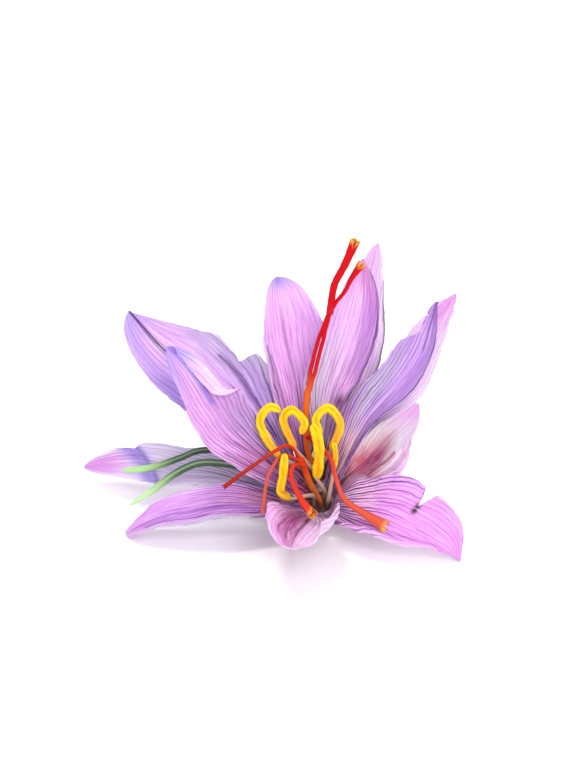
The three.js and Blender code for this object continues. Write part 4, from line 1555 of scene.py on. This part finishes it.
@dataclass
class CrocusPair:
    """All pieces of the two nested blooms, with their sizes and tones."""

    origin: np.ndarray
    tepals: tuple[Tepal, ...] = (
        Tepal("rear_tepal_left", Bloom.REAR, 170, 60,
              ((-16.2, 7.5, 20.4), (-23.4, 10.5, 27.2), (-29.5, 12.5, 31.6), (-35.7, 14, 38.9)),
              Half(8.3, 0.66, 0.55, 1.9), Half(12, 0.5, 1.2, 1.5),
              face=((0.3, -0.6, 0.7), (0.2, -0.6, 0.75), TOWARDS_VIEWER),
              cup=(24, 14, 8), keel=(0, 8, 16), wave=0.5,
              notches=(Notch(1, 0.53, 0.014, 0.24, 0.32), Notch(1, 0.7, 0.14, 0.3, 0.26)),
              tint=Tint(body="e6b8f0", margin="e4bcf4", tip="cfaef6", low="bc94cc", back="dcc2ec",
                        throat="95589a"),
              creases=(Crease((0.64, 0.0), (1.0, 0.0), 0.07, -0.35, 1.0, "4c2470"),
                       # Painted shadow of the next blade's edge along this crease.
                       Crease((0.2, 0.42), (0.6, 0.56), 0.03, -0.35, 0.85, "5c3484")),
              # Grey-violet and grey patches over the right half: painted shade on the margin that turns
              # away.
              patches=(Patch(0.36, 0.7, 0.2, 0.42, "b490d6", 0.95),
                       Patch(0.56, 0.85, 0.12, 0.36, "b09ccc", 1.0),
                       Patch(0.68, 0.8, 0.1, 0.34, "b8a4d0", 0.9),
                       Patch(0.38, 0.98, 0.16, 0.16, "d4ccdc", 0.8),
                       Patch(0.6, -0.75, 0.18, 0.5, "ac94e8", 0.85),
                       Patch(0.97, -0.5, 0.12, 0.6, "b8a0ec", 0.6)),
              seed=3),
        Tepal("rear_tepal_back", Bloom.REAR, 123, 45,
              ((-3.5, 10.6, 23.2), (-5.3, 12.9, 32.4), (-6.4, 13.5, 39.8), (-7.6, 15, 45.5)),
              Half(5.3, 0.5, 0.5, 0.9), Half(8, 0.52, 0.52),
              tint=Tint(body="f6b8f8", margin="ecc0f6", tip="f0c4fa", low="cc84ce", throat="8c4486"),
              creases=(Crease((0.3, -0.05), (0.85, -0.12), 0.03, -0.2, 0.65, "8a3c90"),
                       Crease((0.2, -0.55), (0.6, -0.75), 0.06, 0.25, 0.5, "8a5ca4"),
                       Crease((0.15, -0.82), (0.66, -0.86), 0.035, -0.2, 0.75, "6c2c74")),
              patches=(Patch(1.0, 0.0, 0.06, 1.2, "9a92de", 0.95),
                       Patch(0.75, 0.6, 0.25, 0.4, "e4b4f2", 0.5)),
              seed=4),
        Tepal("rear_tepal_tall", Bloom.REAR, 70, 40,
              ((2.9, 7, 24.6), (6.4, 9, 34), (8.1, 11, 42.3), (8.5, 13, 50)),
              Half(6.4, 0.48, 0.85), Half(4.6, 0.62, 0.8), cup=(24, 30, 25),
              tint=Tint(body="eebcf6", margin="e4b4ee", tip="e492d0", low="cdb2d2", throat="8c5a8c"),
              creases=(Crease((0.45, 0.3), (0.95, 0.12), 0.1, 0.3, 0.25, "9a4cb4"),
                       Crease((0.35, 0.96), (0.92, 0.96), 0.09, 0.0, 0.85, "6c2888"),
                       Crease((0.37, 0.2), (0.45, 0.95), 0.07, 0.5, 0.0)),
              patches=(Patch(0.68, 0.62, 0.3, 0.36, "bc74d0", 0.85),
                       Patch(0.5, -0.5, 0.25, 0.35, "ecc8f6", 0.6),
                       Patch(0.4, 0.5, 0.06, 0.4, "ffc8ff", 1.0),
                       Patch(0.32, 0.55, 0.035, 0.36, "883484", 0.9),
                       Patch(0.4, -0.6, 0.18, 0.4, "d2c4d8", 0.8)),
              seed=5),
        Tepal("rear_tepal_tall_outer", Bloom.REAR, 64, 60,
              ((4.7, 13, 21.8), (7.2, 16.5, 30.8), (8.7, 19.5, 39.9), (11.7, 21.5, 49.8)),
              Half(4.9, 0.53, 0.76), Half(5.9, 0.52, 0.78), outer=True,
              tint=Tint(body="f6d4f8", margin="fbeafc", tip="f2c8f6", low="ffffff",
                        throat="d8b4d8", veins=0.8),
              notches=(Notch(1, 0.9, 0.05, 0.03, 0.18), Notch(-1, 0.93, 0.03, 0.04, 0.3)),
              creases=(Crease((0.3, 0.97), (0.9, 0.97), 0.03, 0.0, 0.85, "4c2850"),
                       Crease((0.72, 0.3), (0.96, 0.05), 0.05, 0.1, 0.55, "a860b0"),
                       Crease((0.78, -0.35), (0.95, -0.15), 0.05, 0.1, 0.5, "a860b0")), seed=6),
        Tepal("rear_tepal_right", Bloom.REAR, 22, 70,
              ((10.9, 12, 16.7), (16.9, 15, 22.5), (21.3, 18, 31.1), (26.8, 20, 39.9)),
              Half(4.3, 0.6, 0.7), Half(4.5, 0.62, 0.85, 5.0),
              face=((-0.2, -0.6, 0.75), (-0.2, -0.7, 0.7), (-0.2, -0.7, 0.7)), wave=0.4,
              notches=(Notch(1, 0.9, 0.05, 0.02, 0.3), Notch(1, 0.955, 0.03, 0.015, 0.4),
                       Notch(-1, 0.88, 0.1, 0.04, 0.2), Notch(-1, 0.97, 0.02, 0.02, 0.2)),
              creases=(Crease((0.78, 0.25), (0.98, 0.1), 0.05, 0.1, 0.6, "b048b0"),
                       Crease((0.8, -0.3), (0.97, -0.1), 0.05, 0.1, 0.6, "b048b0"),
                       Crease((0.84, 0.65), (0.94, 0.5), 0.04, 0.08, 0.5, "b458b8")),
              tint=Tint(body="f8dcfa", margin="f8ecfc", tip="ee9cee", low="e4c4e0"), seed=7),
        Tepal("rear_tepal_low_right", Bloom.REAR, -5, 90,
              ((10.9, 12.5, 9.1), (14.3, 17, 11.5), (18, 20.5, 13.2), (20.5, 23, 14.9)),
              Half(7.2, 0.68, 0.45), Half(7.2, 0.36, 0.9, 0.45), outer=True, cup=(24, 30, 25), wave=0.4,
              curls=(Curl(1, 0.02, 0.66, 0.4, -55, 0.1),),
              tint=Tint(body="fffcff", margin="ffd2fc", tip="fdbefc", low="fa9cac", throat="a84060",
                        throat_reach=0.3, veins=0.75),
              creases=(Crease((0.2, 0.3), (0.58, 0.54), 0.04, -0.4, 0.9, "b01860"),
                       Crease((0.3, 0.62), (0.6, 0.8), 0.07, 0.4, 0.3, "8a4a70")),
              patches=(Patch(0.34, -0.3, 0.2, 0.5, "ff8c84", 1.0),
                       Patch(0.16, 0.0, 0.12, 0.7, "84244c", 0.8),
                       Patch(0.4, 0.85, 0.3, 0.24, "f8ccf2", 0.9),
                       Patch(0.6, -0.3, 0.22, 0.45, "ffffff", 0.8),
                       Patch(0.95, 0.0, 0.16, 0.8, "f8bcf8", 0.8),
                       Patch(0.34, 0.0, 0.26, 0.34, "f0708c", 1.0),
                       Patch(0.46, 0.14, 0.22, 0.24, "a81c70", 1.0)),
              seed=8),
        Tepal("front_tepal_left", Bloom.FRONT, 147, 45,
              ((-14.8, -3, 20.5), (-19.3, -4.5, 27.8), (-23.4, -5.5, 35.2), (-27.5, -5, 39.9)),
              Half(7.2, 0.58, 0.68, 1.0), Half(7.3, 0.7, 0.7, 1.2),
              face=((0.2, -0.6, 0.75),) * 3, cup=(24, 30, 20), wave=0.4,
              notches=(Notch(1, 0.66, 0.45, 0.16, 0.14),),
              curls=(Curl(1, 0.61, 1.04, 0.42, 168, 0.12, 0.3),),
              # Painted shade of the fold down the middle, between the blade and its rolled flap.
              creases=(Crease((0.68, 0.0), (0.97, 0.02), 0.07, -0.2, 0.8, "8878d4"),
                       Crease((0.1, -0.5), (0.48, -0.78), 0.04, -0.25, 0.7, "7a3088"),
                       Crease((0.1, -0.25), (0.42, -0.5), 0.03, -0.2, 0.6, "8a3c90"),
                       Crease((0.12, 0.1), (0.45, -0.2), 0.03, -0.2, 0.5, "8a3c90"),
                       # Painted shadow along the right margin's edge.
                       Crease((0.22, 0.97), (0.56, 0.97), 0.05, 0.0, 0.85, "4c2070")),
              tint=Tint(body="e0a8ea", margin="eec0f2", tip="a898ec", low="c86cb0", back="f8dcfc",
                        throat="f06880", veins=1.25),
              patches=(Patch(0.62, -0.5, 0.3, 0.42, "f2b8f4", 0.8),
                       Patch(0.4, 0.62, 0.22, 0.46, "c4a4e0", 0.95, Side.INNER)),
              seed=9),
        Tepal("front_tepal_right", Bloom.FRONT, 50, 50,
              ((9.5, 4.5, 20.1), (14.8, 6.5, 25.9), (19.4, 8.5, 32.8), (22.6, 10, 42.5)),
              Half(5.6, 0.6, 0.6, 0.9), Half(5.6, 0.68, 1.25, 4.5),
              face=((-0.2, -0.6, 0.75), (-0.2, -0.7, 0.7), (-0.2, -0.7, 0.7)), keel=(0, 30, 35), wave=0.4,
              notches=(Notch(-1, 0.85, 0.06, 0.3, 0.74), Notch(-1, 0.93, 0.02, 0.03, 0.9)),
              creases=(Crease((0.4, 0.93), (0.98, 0.9), 0.06, 0.0, 0.8, "5c3484"),
                       Crease((0.8, 0.15), (1.0, 0.1), 0.08, -0.3, 0.6, "6c3c90")),
              tint=Tint(body="d8acf2", margin="d4b0ee", tip="b07cd8", low="e0b0d0",
                        throat="aa6490", veins=1.1),
              patches=(Patch(0.5, -0.62, 0.25, 0.4, "c4bcd4", 0.85),
                       Patch(0.32, -0.95, 0.12, 0.24, "b468c4", 0.9),
                       Patch(0.2, -0.3, 0.1, 0.4, "ecb4b4", 0.7),
                       Patch(0.65, 0.4, 0.25, 0.4, "c894ea", 0.6)),
              ragged=0.05, seed=10),
        Tepal("front_tepal_low_right", Bloom.FRONT, -20, 70,
              ((12.4, -9, 8.1), (17.5, -11.5, 6.7), (22.6, -13.5, 4.4), (26.4, -14, 0.4)),
              Half(8, 0.54, 0.75, 0.45), Half(7.5, 0.42, 1.7, 0.6), cup=(24, 12, 10), wave=0.4,
              notches=(Notch(-1, 0.57, 0.02, 0.075, 0.58),),
              curls=(Curl(1, 0.08, 0.9, 0.7, 165),), crimp=0.3,
              # Painted shade: near black in the tear, and a shadow line where the rolled margin's free edge
              # lies.
              creases=(Crease((0.565, -0.3), (0.572, -0.5), 0.055, -0.2, 1.0, "341424"),
                       Crease((0.15, 0.45), (0.85, 0.5), 0.04, 0.0, 0.5, "8c4498")),
              tint=Tint(body="ec9ef0", margin="eaaaf4", tip="eea4f2", low="f2aaea", throat="b05894",
                        back="f8e4fa", veins=1.05),
              patches=(Patch(0.8, -0.75, 0.08, 0.3, "cfa4f4", 0.7),
                       Patch(0.5, -0.85, 0.2, 0.25, "dca8f2", 0.6),
                       Patch(0.12, 0.3, 0.12, 0.6, "f4d4f2", 0.6),
                       Patch(0.16, -0.6, 0.14, 0.5, "f8d2ee", 0.85)),
              seed=11),
        Tepal("front_tepal_low_left_outer", Bloom.FRONT, 165, 90,
              ((-18.3, 9, 6.3), (-27, 12.5, 5.6), (-36.2, 15.5, 5.2), (-45.8, 17, 4.1)),
              Half(5.9, 0.68, 0.76), Half(4.9, 0.62, 0.62), outer=True,
              cup=(24, 20, 20), keel=(0, 20, 25), wave=0.4, notches=(Notch(1, 0.79, 0.02, 0.07, 0.2),),
              # Painted shade of the fold across the blade: a wide band and a sharp line.
              creases=(Crease((0.82, 1.0), (0.68, -0.9), 0.13, -0.3, 0.7, "8868d8"),
                       Crease((0.79, 1.0), (0.65, -0.9), 0.03, -0.25, 0.55, "6a50b4"),
                       Crease((0.5, 0.5), (0.6, -0.2), 0.1, 0.3, 0.0)),
              tint=Tint(body="f4e8ff", margin="f6f0ff", tip="e49ce4", low="b8a4bc", veins=1.1),
              patches=(Patch(0.92, 0.0, 0.1, 0.9, "e29ce6", 0.85),
                       Patch(0.6, 0.5, 0.2, 0.4, "f2ecff", 0.8)),
              seed=12),
        Tepal("front_tepal_low_left", Bloom.FRONT, 198, 75,
              ((-17.1, -5.5, 8.1), (-24.1, -5.5, 7), (-30.3, -4.5, 4.8), (-36.3, -3, 0.4)),
              Half(5.3, 0.46, 0.45), Half(4.6, 0.42, 0.56), face=((0.0, -0.3, 0.95),) * 3,
              cup=(24, 20, 15),
              creases=(Crease((0.1, 0.1), (0.95, -0.02), 0.05, 0.35, 0.0),
                       Crease((0.12, -0.25), (0.92, -0.34), 0.13, -0.45, 0.55, "a85cc4"),
                       Crease((0.15, -0.6), (0.85, -0.58), 0.035, 0.2, 0.9, "5c2470")),
              tint=Tint(body="e6a8f2", margin="eec4f8", tip="fac0fe", low="e490d8",
                        throat="b0588c", veins=1.15),
              patches=(Patch(0.5, -0.95, 0.45, 0.2, "cfc6d8", 0.95),
                       Patch(0.5, -0.42, 0.45, 0.2, "c480dc", 0.7),
                       Patch(0.2, 0.5, 0.14, 0.5, "f0b4c8", 0.6)),
              seed=13),
        Tepal("front_tepal_tongue", Bloom.FRONT, 252, 45,
              ((-1.9, -16, 9.8), (-3.5, -23, 11.5), (-4.7, -29, 12.4), (-5, -32, 13.1)),
              Half(8.2, 0.46, 0.6, 0.8), Half(8, 0.42, 0.7, 1.1),
              curls=(Curl(-1, 0.05, 0.95, 0.25, 85, 0.2),),
              creases=(Crease((0.1, 0.02), (0.92, 0.04), 0.035, 0.35, 0.9, "7c1c60"),
                       Crease((0.3, 0.3), (0.9, 0.26), 0.09, -0.4, 0.0),
                       Crease((0.1, 0.2), (0.8, 0.62), 0.035, 0.2, 0.8, "7c1c60"),
                       Crease((0.1, 0.12), (0.85, 0.36), 0.025, 0.15, 0.7, "8c2c70")),
              tint=Tint(body="f0a8e2", margin="f8cef6", tip="f2b6e8", low="dc90c8",
                        throat="c898bc", veins=1.1),
              patches=(Patch(0.5, 0.3, 0.42, 0.3, "a4187c", 1.0),
                       Patch(0.45, -0.55, 0.55, 0.42, "fff0ff", 1.0),
                       Patch(0.5, 0.95, 0.45, 0.26, "ffc4fa", 1.0)),
              seed=14),
    )
    stamens: tuple[Stamen, ...] = (
        Stamen("rear_left", Bloom.REAR, 200,
               ((-7, -3, 16.4), (-9.4, -3, 20.1), (-10.7, -2.6, 23.8), (-9, -2, 26.3), (-6.8, -2, 25.6)),
               bend=(-3.2, -1.6, 13.6), seed=1),
        Stamen("rear_middle", Bloom.REAR, 270,
               ((-4.2, 0, 16.7), (-6.4, 0, 22.5), (-4.8, 0, 24.8), (-2.5, -0.4, 22.5), (-3.1, -1, 20.2)),
               seed=2, faded=0.6),
        Stamen("rear_right", Bloom.REAR, 30,
               ((2.6, 0.5, 16), (4.3, 0.5, 21.5), (2, 0.5, 25), (-0.3, -0.2, 22.9), (0.7, -1, 20.2)),
               seed=3, faded=0.7),
        Stamen("front_right", Bloom.FRONT, 60,
               ((-0.1, -4, 12.4), (0.3, -4, 17.2), (0, -3.8, 20.7), (-1, -3.4, 23.5)),
               seed=4, width=2.2, depth=1.4, faded=0.0),
        Stamen("front_left", Bloom.FRONT, 180,
               ((-4.9, -8, 10.3), (-6.8, -9, 12.3), (-6.4, -8.5, 15.6), (-6.1, -8, 19.7)), seed=5),
        Stamen("front_hidden", Bloom.FRONT, 0, ((3, -1.5, 12.5), (3.4, -2, 16), (3, -2.5, 19.2)),
               seed=6, width=1.2, depth=1.0, faded=1.0),
    )
    styles: tuple[Style, ...] = (
        Style("rear_style_and_stigmas", Bloom.REAR, 0.5,
              ((-1, 1.4, 12.5), (-2, 1.8, 17.4), (-2, 2.5, 25.7), (-1.4, 2.8, 28.7), (0.1, 3, 35.8),
               (2.3, 3.5, 43.6)),
              (Branch(0.66, 0.84, ((2.2, 3.4, 43), (2.5, 3.3, 45.6), (3.1, 3.1, 49.1),
                                   (4.9, 2.8, 53), (6.7, 2.6, 57.6)), fringe=0.45),
               Branch(0.38, 0.76, ((2.2, 3.4, 43), (3.4, 3.6, 45.2), (5, 3.9, 47.3),
                                   (6.1, 4.2, 49.6), (7.9, 4.5, 52.3))),
               Branch(0.4, 1.05, ((-2, 1.9, 18.2), (-0.8, -0.6, 18.9), (2.2, -4, 17.2), (3.3, -7, 14.4),
                                  (4.9, -9.5, 11.1), (8.4, -12, 9.4), (12.4, -14.6, 8)), faded="c4543a")),
              twin=True),
        Style("front_style_and_stigmas", Bloom.FRONT, 0.62,
              ((-0.2, -3.4, 9), (-1.6, -3.6, 12), (-3.1, -3.6, 16.9)),
              (Branch(0.32, 0.44, ((-2.9, -3.6, 16.3), (-5.3, -5, 19.8), (-7.9, -6.5, 19.5),
                                  (-12.5, -8.5, 17), (-17.3, -10, 13.8)),
                       fringe=0.22, faded="8c1c10", rim="7c1820"),
               Branch(0.33, 0.42, ((-2.7, -3.6, 15.7), (-6.4, -6, 18.4), (-8.8, -9, 16.4),
                                   (-9.6, -10.5, 13.9), (-10.1, -12, 9.5)),
                       fringe=0.22, faded="b85848", rim="c87870"),
               Branch(0.42, 1.02, ((-2.5, -3.6, 15), (-4.4, -7, 16.8), (-4.9, -10, 15.7),
                                   (-3.1, -15, 13.8), (-1.1, -18, 12.4)), faded="c83020")),
              low="b0622c", middle="d25a1c", top="c83414"),
    )
    leaves: tuple[Leaf, ...] = (
        Leaf("upper_leaf", -1.1, ((-1.3, 17, 4.4), (-5, 11.5, 8), (-12, 8.6, 11.5), (-21.6, 7, 12.9),
                                  (-26.3, 8, 10.7), (-31.4, 8, 8.8), (-37.6, 8, 7.9)), width=1.4),
        Leaf("lower_leaf", 1.1, ((0.4, 16, 4.8), (-3.6, 9, 8.4), (-9.5, 3, 10.7), (-15.8, 3, 11.8),
                                 (-22.1, 3, 12.2), (-26.9, 3, 10), (-31.3, 2, 6.9), (-35.6, 0, 4.7)),
             taper=0.8, pale="b4dc98"),
    )

    def dress(self, piece: bpy.types.Object, finish: bpy.types.Material) -> None:
        """Gives a piece its finish and its place on the body, and hides the solid of the node it stands
        for.

        Args:
            piece: the piece, named after its node.
            finish: its material.
        """
        piece.data.materials.append(finish)
        node = piece.name.removesuffix(DRESSED)
        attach(piece, "root")
        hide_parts(node)
        LOG.info("%s: %d faces", piece.name, len(piece.data.polygons))

    def make(self) -> None:
        """Builds every piece in order, from the petals inwards and back along the stalks."""
        petal = PetalFinish().make()
        pollen = PollenFinish().make()
        thread = SkinFinish("filament_skin", "ffffff", 3.0, 0.2, 0.5, 0.02, through=0.2).make()
        red = SkinFinish("stigma_skin", "8c0c08", 5.0, 0.3, 0.42, 0.05, shine=0.1).make()
        leaf = SkinFinish("leaf_skin", "2b4229", 9.0, 0.35, 0.45, 0.04).make()
        tube = SkinFinish("tube_skin", "a98fb4", 10.0, 0.5, 0.4, 0.03, through=0.25).make()
        paper = SkinFinish("sheath_paper", "b79f74", 16.0, 0.5, 0.7, 0.06, through=0.2).make()
        for tepal in self.tepals:
            self.dress(tepal.make(self.origin), petal)
        for stamen in self.stamens:
            self.dress(stamen.make_filament(self.origin), thread)
            self.dress(stamen.make_anther(self.origin), pollen)
        for style in self.styles:
            self.dress(style.make(self.origin), red)
        for blade in self.leaves:
            self.dress(blade.make(self.origin), leaf)
        for bloom in Bloom:
            self.dress(FlowerTube(bloom).make(self.origin), tube)
        self.dress(Sheath().make(self.origin), paper)


def main() -> None:
    """Loads the frame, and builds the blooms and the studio."""
    logging.basicConfig(level=logging.INFO, format="%(name)s %(message)s")
    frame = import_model()
    mount = next(m for m in frame["record"]["mounts"] if m["name"] == "rest")
    origin = np.array(mount["pos_m"]) / MM - np.array(REST_POINT)
    CrocusPair(origin).make()
    Studio().make(origin)
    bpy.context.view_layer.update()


if __name__ == "__main__":
    main()
